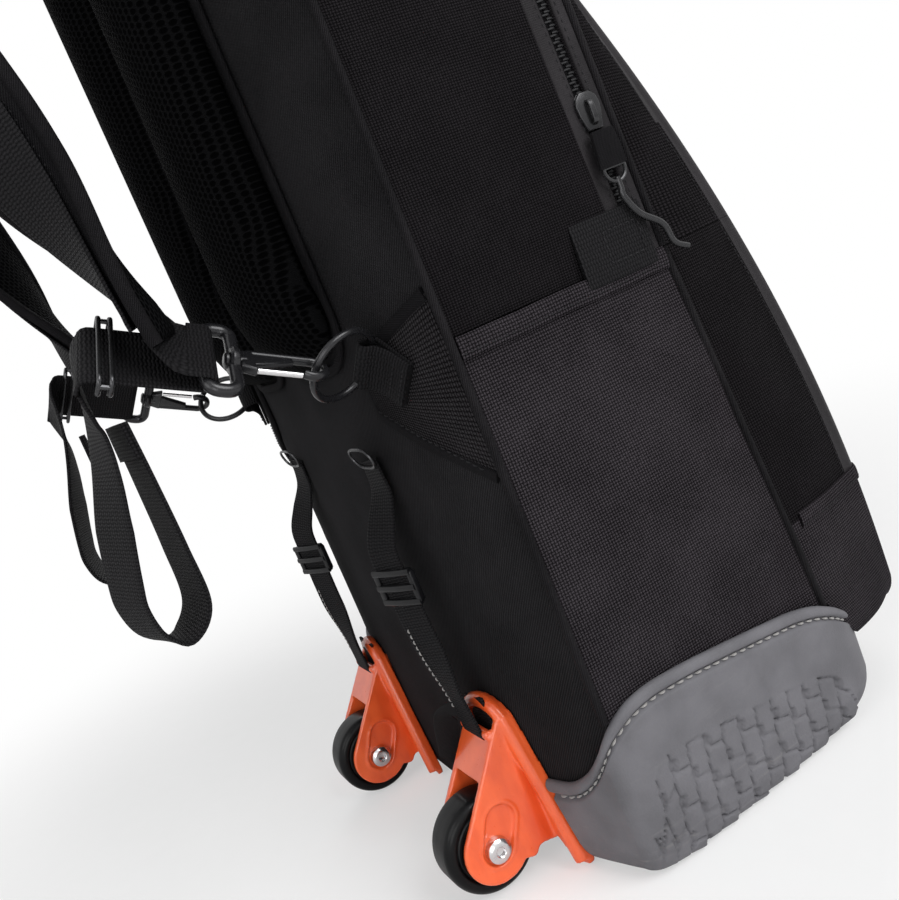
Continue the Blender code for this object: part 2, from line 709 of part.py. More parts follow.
def build_brackets():
    """The two orange brackets: a flange on the back face, two cheeks, a web and a webbing bar."""
    cheek, (apex, touch) = cheek_outline()
    bore = circle((axle_y(), AXLE_HEIGHT), AXLE / 2 + BORE_PLAY, 16)
    along = Vector(touch) - Vector(apex)
    inward = Vector((along.y, -along.x)).normalized() * WEB_INSET
    web = [tuple(Vector(apex) + along * share + inward) for share in WEB_SPAN]
    reach = CHEEK_INNER + CHEEK / 2
    for side, sign in SIDES.items():
        middle = sign * WHEEL_X
        bracket = piece(f"wheel_bracket_{side}", slab("Y", 0, FAR, flange_outline(sign, 0)), "orange")
        trim(bracket, CROWNS["flange"], "INTERSECT")
        for place in (-1, 1):
            ends = sorted((middle + place * CHEEK_INNER, middle + place * CHEEK_OUTER))
            wall = cutter(f"cheek_{side}_{place}", slab("X", *ends, cheek, bore))
            trim(bracket, wall, "UNION")
        plate = slab("X", middle - reach, middle + reach, band(web, WEB))
        trim(bracket, cutter(f"web_{side}", plate), "UNION")
        bar = slab("X", middle - reach, middle + reach, circle(tie_bar(), TIE_BAR / 2, 12))
        trim(bracket, cutter(f"tie_bar_{side}", bar), "UNION")
        trim(bracket, CROWNS["fit"])


def build_wheels():
    """Each wheel: a soft tyre on a moulded hub, turning on a bearing pair."""
    seat = WHEEL_RADIUS - TYRE_WALL
    half, wall = WHEEL_WIDTH / 2, WHEEL_WIDTH / 2 - HUB_INSET
    shoulder = TYRE_WALL * TYRE_ROUND
    crest = WHEEL_RADIUS - shoulder
    tyre = [(seat + GAP, wall), (crest, half), *arc((crest, half - shoulder), shoulder, 60, 0, 2),
            *arc((crest, shoulder - half), shoulder, 0, -60, 2), (crest, -half), (seat + GAP, -wall)]
    bore, race = HUB_BORE / 2, AXLE / 2 + BORE_PLAY
    web, lip = half - HUB_DISH, wall - HUB_DISH / 2
    rim = bore + HUB_DISH
    hub = [(bore + GAP, web), (rim, web), (rim + HUB_INSET, lip), (seat, wall),
           (seat, -wall), (rim + HUB_INSET, -lip), (rim, -web), (bore + GAP, -web)]
    cap = web + HUB_INSET / 2
    bearing = [(race, cap), (bore, cap), (bore, -cap), (race, -cap)]
    for side, sign in SIDES.items():
        place = axle_frame(sign)
        pivot = place.translation
        piece(f"wheel_tyre_{side}", turned(tyre, WHEEL_STEPS, place), "tyre", pivot)
        piece(f"wheel_hub_{side}", turned(hub, WHEEL_STEPS, place), "hub", pivot)
        piece(f"wheel_bearing_{side}", turned(bearing, WHEEL_STEPS, place), "chrome", pivot)


def hexagon(flats):
    """A hexagon with a given size across its flats."""
    return circle((0, 0), flats / 2 / math.cos(RADIANS(30)), 6)


def build_axles():
    """A socket-head bolt through both cheeks, with its head on the left and its nut on the right."""
    head, shank = BOLT_HEAD / 2, AXLE / 2
    under = CHEEK_OUTER + GAP
    top = under + BOLT_HEAD_HEIGHT
    nut_face = CHEEK_OUTER + GAP
    tip = nut_face + NUT_HEIGHT
    bevel = BOLT_HEAD_HEIGHT * BOLT_BEVEL
    point = shank * BOLT_BEVEL
    profile = [(0, top), (head - bevel, top), (head, top - bevel), (head, under), (shank, under),
               (shank, point - tip), (shank - point, -tip), (0, -tip)]
    for side, sign in SIDES.items():
        place = axle_frame(sign)
        bolt = piece(f"axle_bolt_{side}", turned(profile, WHEEL_STEPS, place), "chrome", place.translation)
        socket = slab("Z", top - BOLT_HEAD_HEIGHT * HEX_DEPTH, top + BOLT_HEAD_HEIGHT, hexagon(HEX_KEY))
        socket.transform(place)
        trim(bolt, cutter(f"hex_key_{side}", socket))
        hole = circle((0, 0), shank + BORE_PLAY, 16)
        nut = slab("Z", -nut_face - NUT_HEIGHT, -nut_face, hexagon(NUT_FLATS), hole)
        nut.transform(place)
        piece(f"axle_nut_{side}", nut, "chrome")


TIE_WRAP = TIE_BAR / 2 + WEBBING / 2 + 2 * GAP


def tie_bar():
    """Centre (y, z) of the bar that the bracket's webbing turns round."""
    return (flange_face(TIE_WIDTH / 2) + TIE_WRAP + WEBBING / 2 + 2 * GAP, TIE_BAR_HEIGHT)


def tie_top():
    """Y of the webbing's middle where it is sewn to the back face."""
    inner_edge = WHEEL_X - TIE_LEAN * (TIE_TOP - TIE_BAR_HEIGHT) - TIE_WIDTH / 2
    return crown(inner_edge) + GAP + WEBBING / 2


def build_ties():
    """Webbing from the back face to each bracket's bar, with a ladder-lock buckle on it."""
    bar = tie_bar()
    top, bow = tie_top(), tie_top() + TIE_BOW
    run = BUCKLE_LENGTH
    swell = (top + TIE_BOW * TIE_SWELL, TIE_TOP - 2 * TIE_SEWN)
    slack = smooth([(top, TIE_TOP - TIE_SEWN), swell, (bow, BUCKLE_HEIGHT + run)], 3)
    outside, inside = bar[0] + TIE_WRAP, bar[0] - TIE_WRAP
    drop = smooth([(bow, BUCKLE_HEIGHT - run), (outside + WEBBING, TIE_BAR_HEIGHT + 2 * TIE_SEWN),
                   (outside, TIE_BAR_HEIGHT)], 3)
    wrap = arc(bar, TIE_WRAP, 0, -180, 8)[1:]
    path = [(top, TIE_TOP), *slack, *drop, *wrap, (inside, TIE_BAR_HEIGHT + TIE_SEWN)]
    window = ((TIE_WIDTH + BUCKLE_PLAY) / 2, (WEBBING + BUCKLE_PLAY) / 2)
    rim = (TIE_WIDTH / 2 + BUCKLE_RIM, BUCKLE_DEPTH / 2)
    for side, sign in SIDES.items():
        middle = sign * WHEEL_X
        tie = slab("X", middle - TIE_WIDTH / 2, middle + TIE_WIDTH / 2, band(path, WEBBING))
        piece(f"wheel_strap_{side}", lean(tie, -sign * TIE_LEAN, TIE_BAR_HEIGHT), "webbing")
        outline, hole = ([(middle + a * across, bow + b * deep) for a, b in CORNERS]
                         for across, deep in (rim, window))
        low = BUCKLE_HEIGHT - BUCKLE_LENGTH / 2
        buckle = slab("Z", low, low + BUCKLE_LENGTH, outline, hole)
        place = (middle - sign * TIE_LEAN * (BUCKLE_HEIGHT - TIE_BAR_HEIGHT), bow, BUCKLE_HEIGHT)
        piece(f"strap_buckle_{side}", lean(buckle, -sign * TIE_LEAN, TIE_BAR_HEIGHT), "moulded", place)


PULL = Vector((0, math.cos(RADIANS(PULL_ANGLE)), math.sin(RADIANS(PULL_ANGLE))))


def ring_frame(sign):
    """Placing at the ring's seat in its tab: X across the ring, Z along the tab's width."""
    across = Vector((sign * RING_LEAN[0], RING_LEAN[1], RING_LEAN[2])).normalized()
    slant = Vector((sign, 0, 1)).normalized()
    width = (slant - across * slant.dot(across)).normalized()
    seat = Vector((sign * RING_X, crown(RING_X) + RING_STAND, RING_HEIGHT))
    return frame_of(seat, across, width)


def hook_frame(sign):
    """Placing of a snap hook whose throat is drawn against the far side of the ring."""
    ring = ring_frame(sign)
    width = ring.col[2].to_3d()
    flat = (width - PULL * width.dot(PULL)).normalized()
    far = ring @ Vector((2 * RING_RADIUS, 0, 0))
    return frame_of(far + PULL * (HOOK_THROAT - RING_WIRE / 2 - RING_PLAY), PULL, flat)


def build_rings():
    """A sewn corner patch, a folded webbing tab and the round ring that it holds, on each side."""
    inner = RING_RADIUS - RING_WIRE / 2
    sag = RING_RADIUS - math.sqrt(inner**2 - (TAB_WIDTH / 2) ** 2)
    fold = sag + GAP - TAB_HALF_HEIGHT + WEBBING / 2
    turn = arc((fold, 0), TAB_HALF_HEIGHT, -90, 90, 10)
    loop = [(-TAB_LENGTH, -TAB_HALF_HEIGHT), *turn, (-TAB_LENGTH, TAB_HALF_HEIGHT)]
    edge = HALF - PATCH_INSET
    for side, sign in SIDES.items():
        middle = (PATCH_FOOT + PATCH_TOP) / 2 + PATCH_TIP_WIDTH / 4
        patch = [(edge, PATCH_FOOT), (edge, PATCH_TOP),
                 (PATCH_TIP, middle + PATCH_TIP_WIDTH / 2), (PATCH_TIP, middle - PATCH_TIP_WIDTH / 2)]
        sheet = slab("Y", -BACK_EDGE, FAR, [(sign * x, z) for x, z in patch])
        sewn = piece(f"corner_patch_{side}", sheet, "weave")
        trim(trim(sewn, CROWNS["patch"], "INTERSECT"), CROWNS["fit"])
        place = ring_frame(sign)
        tab = slab("Z", -TAB_WIDTH / 2, TAB_WIDTH / 2, band(loop, WEBBING))
        tab.transform(place)
        trim(piece(f"ring_tab_{side}", tab, "webbing"), CROWNS["tab"])
        spin = place @ Matrix.Translation((RING_RADIUS, 0, 0)) @ Matrix.Rotation(RADIANS(90), 4, "X")
        wire = circle((RING_RADIUS, 0), RING_WIRE / 2, 8)
        piece(f"strap_ring_{side}", turned(wire, WHEEL_STEPS, spin), "black_metal", spin.translation)


def eye_start():
    """Distance from the hook's throat to the near side of its webbing eye."""
    return HOOK_STEM + HOOK_BASE + 2 * GAP


def eye_bar():
    """Distance from the hook's throat to the middle of the bar that the webbing turns round."""
    return eye_start() + EYE_BAR + EYE_WINDOW + EYE_BAR / 2


def bar_way(sign):
    """Direction of the eye's bar, turned about the pull so that its outer end hangs lower."""
    turn = RADIANS(EYE_TURN)
    drop = Vector((0, PULL.z, -PULL.y))
    return Vector((sign * math.cos(turn), 0, 0)) + drop * math.sin(turn)


def build_hooks():
    """A swivel snap hook on each ring: hook, sprung gate and webbing eye."""
    outer = HOOK_THROAT + HOOK_BAR
    start = eye_start()
    tip = HOOK_TIP_ANGLE
    base = HOOK_STEM + HOOK_BASE
    throat = arc((0, 0), HOOK_THROAT, tip, 270, 10)
    nose = arc((0, 0), outer, 270, tip, 10)
    outline = [*throat, (HOOK_STEM, -HOOK_THROAT), (HOOK_STEM, outer), (base, outer), (base, -outer), *nose]
    pin = SWIVEL_PIN / 2
    root = HOOK_STEM + HOOK_BASE / 2
    head = start + EYE_BAR + 2 * GAP
    lip, end = pin + SWIVEL_HEAD / 2, head + SWIVEL_HEAD
    stem = [(0, root), (pin, root), (pin, head), (lip, head), (lip, end), (0, end)]
    gate_middle = HOOK_THROAT + HOOK_BAR / 2
    gate_end = HOOK_STEM - 2 * GAP
    gate_tip = outer * math.cos(RADIANS(tip)) + 2 * GAP
    gate = [(gate_tip, gate_middle - GATE_BAR / 2), (gate_end, gate_middle - GATE_BAR / 2),
            (gate_end, gate_middle + GATE_BAR / 2), (gate_tip, gate_middle + GATE_BAR / 2)]
    far = start + 2 * EYE_BAR + EYE_WINDOW
    reach = STRAP_WIDTH / 2 + GLIDE_PLAY
    wide = reach + EYE_BAR
    near_bar, far_bar = start + EYE_BAR, far - EYE_BAR
    rim = [(start, -wide), (far, -wide), (far, wide), (start, wide)]
    window = [(near_bar, -reach), (far_bar, -reach), (far_bar, reach), (near_bar, reach)]
    along = Matrix.Rotation(RADIANS(90), 4, "Y")
    for side, sign in SIDES.items():
        place = hook_frame(sign)
        body = slab("Z", -HOOK_PLATE / 2, HOOK_PLATE / 2, outline)
        body.transform(place)
        hook = piece(f"snap_hook_{side}", body, "black_metal", place.translation)
        trim(hook, cutter(f"swivel_{side}", turned(stem[::-1], 16, place @ along)), "UNION")
        bar = slab("Z", -GATE_BAR / 2, GATE_BAR / 2, gate)
        bar.transform(place)
        piece(f"hook_gate_{side}", bar, "chrome", place @ Vector((gate_end, gate_middle, 0)))
        level = frame_of(place.translation, PULL, PULL.cross(bar_way(sign)))
        eye_mesh = slab("Z", -EYE_THICK / 2, EYE_THICK / 2, rim, window)
        eye_mesh.transform(level)
        eye = piece(f"hook_eye_{side}", eye_mesh, "black_metal")
        boss = turned(rod(EYE_BOSS / 2, start - GAP, start + EYE_BAR + GAP), 16, place @ along)
        trim(eye, cutter(f"eye_boss_{side}", boss), "UNION")
        bore = turned(rod(pin + BORE_PLAY, start - EYE_BAR, start + 2 * EYE_BAR), 16, place @ along)
        trim(eye, cutter(f"eye_bore_{side}", bore))


EYE_WRAP = math.hypot(EYE_BAR, EYE_THICK) / 2 + GAP + WEBBING / 2


def mixed(first, last, count):
    """Directions that turn evenly from first to last."""
    return [first.lerp(last, step / max(count - 1, 1)) for step in range(count)]


def webbing_line(sign):
    """Points and width directions of a strap's webbing, from its padded length to its loose end."""
    way, hanging = bar_way(sign), turned_way(sign, TAIL_TURN)
    rise = PULL.cross(way) * -sign
    bar = hook_frame(sign) @ Vector((eye_bar(), 0, 0))
    over, under = bar + rise * EYE_WRAP, bar - rise * EYE_WRAP
    foot = Vector((sign * STRAP_X, SHOULDER_SET, SHOULDER_FOOT - GAP))
    top, low = foot - Vector((0, 0, LEG_DROP)), over + PULL * LEG_RUN
    leg = [foot, *smooth([top, top.lerp(low, 0.3), top.lerp(low, 0.7), low], 4)]
    wrap = [bar + (PULL * a + rise * b) * EYE_WRAP for a, b in arc((0, 0), 1, 90, 270, 10)]
    end = under + PULL * STRAP_RUN
    bend = [end + (rise * (a - 1) + PULL * b) * TAIL_BEND for a, b in arc((0, 0), 1, 0, 90, 6)]
    rear = REAR_REACH - WEBBING / 2 - STRAP_WIDTH / 2 * math.sin(RADIANS(TAIL_TURN))
    fall = end.z - TAIL_FOOT
    hang = [(sign * TAIL_X, rear - inset, TAIL_FOOT + share * fall) for inset, share in TAIL_BENDS]
    tail = smooth([bend[-1], bend[-1] - rise * TAIL_SLIP, *hang], 4)[1:]
    turning = len(tail) // 3
    ways = [*mixed(turned_way(sign, SHOULDER_TURN), way, len(leg)), *[way] * (len(wrap) + len(bend)),
            *mixed(way, hanging, turning), *[hanging] * (len(tail) - turning)]
    return [Vector(point) for point in (*leg, *wrap, *bend, *tail)], ways


def turned_way(sign, degrees):
    """Width direction of a length that is turned about the vertical, with its outer face outward."""
    turn = RADIANS(degrees)
    return Vector((sign * math.cos(turn), -math.sin(turn), 0))


def shoulder_line(sign):
    """Points and width directions of a strap's padded length, from its lower end to its root."""
    height = SHOULDER_TOP - SHOULDER_FOOT
    bow = [(SHOULDER_SET, SHOULDER_FOOT), (SHOULDER_SET, SHOULDER_FOOT + SHOULDER_THICK / 2)]
    bow += [(set_back, SHOULDER_FOOT + up * height) for set_back, up in SHOULDER_BENDS]
    bow += [(BACK_CROWN + proud, SHOULDER_TOP - drop) for proud, drop in SHOULDER_ROOT]
    route = [bow[0], *smooth(bow[1:], 4)]
    path = [Vector((sign * (STRAP_X - SHOULDER_LEAN * (max(z, bow[1][1]) - bow[1][1])), y, z)) for y, z in route]
    return path, mixed(turned_way(sign, SHOULDER_TURN), Vector((sign, 0, 0)), len(path))


def build_straps():
    """Each shoulder strap: padded length, webbing through the hook's eye, glide and hanging tail."""
    rim = (STRAP_WIDTH / 2 + GLIDE_RIM, GLIDE_DEPTH / 2)
    window = ((STRAP_WIDTH + GLIDE_PLAY) / 2, (WEBBING + GLIDE_PLAY) / 2)
    for side, sign in SIDES.items():
        piece(f"strap_webbing_{side}", ribbon(*webbing_line(sign), STRAP_WIDTH, WEBBING), "webbing")
        padded = ribbon(*shoulder_line(sign), 2 * SHOULDER_HALF, SHOULDER_THICK)
        trim(piece(f"shoulder_strap_{side}", padded, "mesh"), CROWNS["fit"])
        way = bar_way(sign)
        bar = hook_frame(sign) @ Vector((eye_bar(), 0, 0))
        place = bar + PULL.cross(way) * sign * EYE_WRAP + PULL * (STRAP_RUN * GLIDE_SHARE)
        outline, hole = ([(a * across, b * deep) for a, b in CORNERS] for across, deep in (rim, window))
        glide = slab("Y", -GLIDE_BAR / 2, GLIDE_BAR / 2, outline, hole)
        glide.transform(frame_of(place, way, way.cross(PULL)))
        piece(f"tri_glide_{side}", glide, "black_metal", place)


def build_zips():
    """On each side: the sewn tab at the zip's end, and the slider with its pull and wire hook."""
    seat = HALF + GAP
    pull_x = seat + ZIP_TAB + PULL_GAP + PULL_THICK / 2
    slider_y = zip_line(SLIDER_HEIGHT)
    foot = SLIDER_HEIGHT - SLIDER_LENGTH / 2
    pull_top = foot - PULL_GAP
    pull_foot = pull_top - PULL_LENGTH
    tab_back = zip_line(ZIP_TAB_FOOT) + ZIP_TAB_WIDTH - PULL_WIDTH / 2
    tab = [(tab_back - ZIP_TAB_WIDTH, ZIP_TAB_FOOT), (tab_back, ZIP_TAB_FOOT), (tab_back, ZIP_TAB_TOP),
           (tab_back - ZIP_TAB_WIDTH, ZIP_TAB_TOP)]
    half = SLIDER_WIDTH / 2
    slider = [(slider_y + half * side, foot + SLIDER_LENGTH * up) for side, up in SLIDER_SHAPE]
    wide = PULL_WIDTH / 2
    neck, low = wide * PULL_NECK, pull_foot + wide
    pull = [(slider_y - neck, pull_top), (slider_y - wide, low), *arc((slider_y, low), wide, 200, 340, 6),
            (slider_y + wide, low), (slider_y + neck, pull_top)]
    hang = pull_foot - GAP
    wire = smooth([(slider_y - swing * PULL_HOOK_SWING, hang - drop * PULL_HOOK_DROP)
                   for swing, drop in PULL_HOOK_BENDS], 3)
    for side, sign in SIDES.items():
        piece(f"zip_tab_{side}", slab("X", *sorted((sign * seat, sign * (seat + ZIP_TAB))), tab), "webbing")
        piece(f"zip_slider_{side}", slab("X", *sorted((sign * seat, sign * (seat + SLIDER_THICK))), slider),
              "black_metal", (sign * seat, slider_y, SLIDER_HEIGHT))
        thick = sorted((sign * (pull_x - PULL_THICK / 2), sign * (pull_x + PULL_THICK / 2)))
        pivot = (sign * pull_x, slider_y, pull_top - PULL_THICK / 2)
        piece(f"zip_pull_{side}", slab("X", *thick, pull), "webbing", pivot)
        line = [(sign * pull_x, y, z) for y, z in wire]
        piece(f"zip_hook_{side}", tube(line, PULL_HOOK_WIRE), "black_metal", pivot)


def build_handle():
    """A webbing grab handle, sewn down at both ends on the top panel."""
    flat = BODY_HEIGHT + GAP + HANDLE_THICK / 2
    crest = BODY_HEIGHT + HANDLE_RISE - HANDLE_THICK / 2
    half = HANDLE_SPAN / 2
    rise = crest - flat
    bow = smooth([(half * side, flat + rise * up) for side, up in HANDLE_BENDS], 3)
    path = [(-half - HANDLE_FOOT, flat), *bow, (half + HANDLE_FOOT, flat)]
    middle = (zip_line(BODY_HEIGHT) + WALL_BACK) / 2
    low, high = middle - HANDLE_WIDTH / 2, middle + HANDLE_WIDTH / 2
    piece("grab_handle", slab("Y", low, high, band(path, HANDLE_THICK)), "webbing")


def main():
    """Build the whole case."""
    build_walls()
    build_lid()
    build_pocket()
    build_boots()
    build_pads()
    build_brackets()
    build_wheels()
    build_axles()
    build_ties()
    build_rings()
    build_hooks()
    build_straps()
    build_zips()
    build_handle()


main()
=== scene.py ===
"""Looks of the soft wheeled golf travel case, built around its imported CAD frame.

Every piece is drawn in metres from the back seam, where the back panel meets the side panels, with
+Z up, the front toward -Y and the left side toward -X, and is then set into the frame of the CAD.
"""

import logging
import math
from collections.abc import Callable, Iterable, Sequence
from dataclasses import dataclass, field
from enum import Enum
from functools import cache

import bmesh
import bpy
import numpy as np
from mathutils import Matrix, Vector, noise


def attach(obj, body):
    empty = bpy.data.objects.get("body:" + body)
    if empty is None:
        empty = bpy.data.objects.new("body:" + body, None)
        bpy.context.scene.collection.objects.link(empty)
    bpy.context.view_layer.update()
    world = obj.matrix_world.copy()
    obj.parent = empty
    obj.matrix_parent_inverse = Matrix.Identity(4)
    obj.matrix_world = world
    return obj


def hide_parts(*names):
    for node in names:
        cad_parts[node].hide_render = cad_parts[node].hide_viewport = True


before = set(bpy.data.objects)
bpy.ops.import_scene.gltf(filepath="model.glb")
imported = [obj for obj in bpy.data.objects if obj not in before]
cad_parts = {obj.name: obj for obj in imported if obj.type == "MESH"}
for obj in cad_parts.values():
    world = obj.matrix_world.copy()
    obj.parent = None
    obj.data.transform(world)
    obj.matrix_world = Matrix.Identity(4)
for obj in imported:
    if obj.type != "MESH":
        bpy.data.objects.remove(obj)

LOG = logging.getLogger("case")
SEAM_Y = 0.0295
CLOTH_MAP = "cloth"
Numbers = Sequence[float]
Colour = tuple[float, float, float]


class Side(Enum):
    """The two mirrored sides of the case."""

    LEFT = -1
    RIGHT = 1

    def __str__(self) -> str:
        """The side's word in node and body names."""
        return self.name.lower()


class Slot(Enum):
    """The record's material slots."""

    WEAVE = "weave"
    TWILL = "twill"
    COATED = "coated"
    MESH = "mesh"
    WEBBING = "webbing"
    BOARD = "board"
    RUBBER = "rubber"
    ORANGE = "orange"
    TYRE = "tyre"
    HUB = "hub"
    CHROME = "chrome"
    BLACK_METAL = "black_metal"
    MOULDED = "moulded"


class Lay(Enum):
    """Where a finish takes its two cloth coordinates from."""

    CUT = "cut"
    BACK = "back"


# ------------------------------------------------------------------ shader maths


class Value:
    """One number that changes over a surface, with Python's arithmetic on it."""

    def __init__(self, graph: "Graph", socket: bpy.types.NodeSocket) -> None:
        """Wrap an output socket of a graph."""
        self.graph = graph
        self.socket = socket

    def _math(self, operation: str, *inputs: "Value | float") -> "Value":
        """Add one Math node.

        Args:
            operation: Blender's name of the operation.
            inputs: What goes into its sockets, in order.

        Returns:
            The node's result.
        """
        made = self.graph.node("ShaderNodeMath", {"operation": operation}, dict(enumerate(inputs)))
        return Value(self.graph, made.outputs[0])

    def __add__(self, other: "Value | float") -> "Value":
        """Self plus other."""
        return self._math("ADD", self, other)

    __radd__ = __add__

    def __sub__(self, other: "Value | float") -> "Value":
        """Self minus other."""
        return self._math("SUBTRACT", self, other)

    def __rsub__(self, other: float) -> "Value":
        """Other minus self."""
        return self._math("SUBTRACT", other, self)

    def __mul__(self, other: "Value | float") -> "Value":
        """Self times other."""
        return self._math("MULTIPLY", self, other)

    __rmul__ = __mul__

    def __truediv__(self, other: "Value | float") -> "Value":
        """Self over other."""
        return self._math("DIVIDE", self, other)

    def __rtruediv__(self, other: float) -> "Value":
        """Other over self."""
        return self._math("DIVIDE", other, self)

    def __pow__(self, other: float) -> "Value":
        """Self to a power."""
        return self._math("POWER", self, other)

    def __mod__(self, other: float) -> "Value":
        """What is left of self after whole steps of other."""
        return self._math("FLOORED_MODULO", self, other)

    def __gt__(self, other: "Value | float") -> "Value":
        """1 where self is more than other, else 0."""
        return self._math("GREATER_THAN", self, other)

    def __lt__(self, other: "Value | float") -> "Value":
        """1 where self is less than other, else 0."""
        return self._math("LESS_THAN", self, other)

    def __abs__(self) -> "Value":
        """Self without its sign."""
        return self._math("ABSOLUTE", self)

    def floor(self) -> "Value":
        """The whole number below self."""
        return self._math("FLOOR", self)

    def wave(self) -> "Value":
        """A half sine over each whole step of self, from 0 up to 1 and back."""
        return abs(self._math("SINE", self * math.pi))

    def high(self, other: "Value | float") -> "Value":
        """The larger of self and other."""
        return self._math("MAXIMUM", self, other)

    def low(self, other: "Value | float") -> "Value":
        """The smaller of self and other."""
        return self._math("MINIMUM", self, other)

    def pick(self, no: "Value", yes: "Value") -> "Value":
        """One value where self is 0 and another where it is 1."""
        return no + (yes - no) * self

    def ease(self, start: float, end: float) -> "Value":
        """Self as a soft step from 0 at start to 1 at end."""
        made = self.graph.node("ShaderNodeMapRange", {"interpolation_type": "SMOOTHSTEP"},
                               {"Value": self, "From Min": start, "From Max": end})
        return Value(self.graph, made.outputs["Result"])


class Graph:
    """The nodes of one Principled material."""

    def __init__(self, name: str) -> None:
        """Start a material whose only nodes are its shader and its output."""
        self.material = bpy.data.materials.new(name)
        self.material.use_nodes = True
        self.tree = self.material.node_tree
        self.shader = self.tree.nodes["Principled BSDF"]

    def node(self, kind: str, settings: dict | None = None, sockets: dict | None = None) -> bpy.types.Node:
        """Add any node.

        Args:
            kind: Blender's type of the node.
            settings: The node's own settings, set before its sockets.
            sockets: Values or links by the socket's name or number.

        Returns:
            The node.
        """
        made = self.tree.nodes.new(kind)
        for key, value in (settings or {}).items():
            setattr(made, key, value)
        for key, value in (sockets or {}).items():
            self.feed(made.inputs[key], value)
        return made

    def feed(self, socket: bpy.types.NodeSocket, value: object) -> None:
        """Link a value, a socket or a plain constant to a socket."""
        source = value.socket if isinstance(value, Value) else value
        if isinstance(source, bpy.types.NodeSocket):
            self.tree.links.new(source, socket)
        else:
            socket.default_value = source

    def fixed(self, **sockets: object) -> None:
        """Set constants on the shader's own sockets, with _ for a space in their names."""
        for key, value in sockets.items():
            self.shader.inputs[key.replace("_", " ")].default_value = value

    def place(self) -> bpy.types.NodeSocket:
        """The point on the piece, in metres, in the piece's own frame."""
        return self.node("ShaderNodeTexCoord").outputs["Object"]

    def cloth(self, lay: Lay) -> tuple[Value, Value]:
        """The two cloth coordinates of a point, in metres.

        Args:
            lay: The cloth's cut map, or the plane of the back.

        Returns:
            Across and along.
        """
        if lay is Lay.CUT:
            source = self.node("ShaderNodeUVMap", {"uv_map": CLOTH_MAP}).outputs["UV"]
        else:
            source = self.place()
        parts = self.node("ShaderNodeSeparateXYZ", sockets={"Vector": source}).outputs
        second = "Y" if lay is Lay.CUT else "Z"
        return Value(self, parts["X"]), Value(self, parts[second])

    def cloud(self, size: float, detail: float = 3.0, stretch: Numbers = (1, 1, 1)) -> Value:
        """Soft random patches.

        Args:
            size: Their size in metres.
            detail: How many finer layers they carry.
            stretch: How much the pattern is squeezed along each axis.

        Returns:
            A value about one half.
        """
        squeeze = self.node("ShaderNodeVectorMath", {"operation": "MULTIPLY"},
                            {0: self.place(), 1: stretch}).outputs["Vector"]
        made = self.node("ShaderNodeTexNoise", sockets={"Vector": squeeze, "Scale": 1 / size, "Detail": detail})
        return Value(self, made.outputs["Fac"])

    def tint(self, share: Value, first: "Colour | bpy.types.NodeSocket",
             second: "Colour | bpy.types.NodeSocket") -> bpy.types.NodeSocket:
        """A colour between two others.

        Args:
            share: 0 for the first, 1 for the second.
            first: A colour or a colour socket.
            second: A colour or a colour socket.

        Returns:
            The mixed colour's socket.
        """
        made = self.node("ShaderNodeMix", {"data_type": "RGBA", "clamp_factor": True}, {0: share})
        for number, colour in ((6, first), (7, second)):
            self.feed(made.inputs[number], (*colour, 1) if isinstance(colour, tuple) else colour)
        return made.outputs[2]

    def relief(self, height: Value, depth: float, strength: float = 1.0) -> None:
        """Raise the surface by a height from 0 to 1 over a depth in metres."""
        made = self.node("ShaderNodeBump", sockets={"Height": height, "Distance": depth, "Strength": strength})
        self.feed(self.shader.inputs["Normal"], made.outputs["Normal"])

    def paint(self, colour: bpy.types.NodeSocket, roughness: Value | None = None) -> bpy.types.Material:
        """Give the shader its colour, and its roughness where that varies."""
        self.feed(self.shader.inputs["Base Color"], colour)
        if roughness is not None:
            self.feed(self.shader.inputs["Roughness"], roughness)
        return self.material


# ------------------------------------------------------------------ finishes


@dataclass(frozen=True)
class Weave:
    """A plain weave of thick yarns, each passing over one and under the next."""

    name: str
    dark: Colour
    light: Colour
    pitch: float
    depth: float
    roughness: float = 0.72
    shine: float = 0.03
    sheen: float = 0.0
    lay: Lay = Lay.CUT

    def material(self) -> bpy.types.Material:
        """The yarns' relief, with a painted highlight on each yarn's crest and painted shade between the yarns, and
        soft patches of wear.
        """
        graph = Graph(self.name)
        across, along = (axis / self.pitch for axis in graph.cloth(self.lay))
        over = (across.floor() + along.floor()) % 2
        weft, warp = along.wave(), across.wave()
        yarn = over.pick(weft * (warp * 0.45 + 0.55), warp * (weft * 0.45 + 0.55))
        patches = graph.cloud(0.035).ease(0.3, 0.7)
        fibre = graph.cloud(0.0024, 2)
        # Painted light: the colour follows the yarn's height, lighter on each crest and darker in the dips between
        # yarns; the fibre and the patches are the cloth's own tone and wear.
        crest = yarn * 0.95 + fibre * 0.4 + patches * 0.16 - 0.42
        graph.relief(yarn + fibre * 0.35, self.depth)
        graph.fixed(Specular_IOR_Level=self.shine, Sheen_Weight=self.sheen, Sheen_Roughness=0.45)
        return graph.paint(graph.tint(crest, self.dark, self.light), self.roughness + 0.2 - yarn * 0.2)


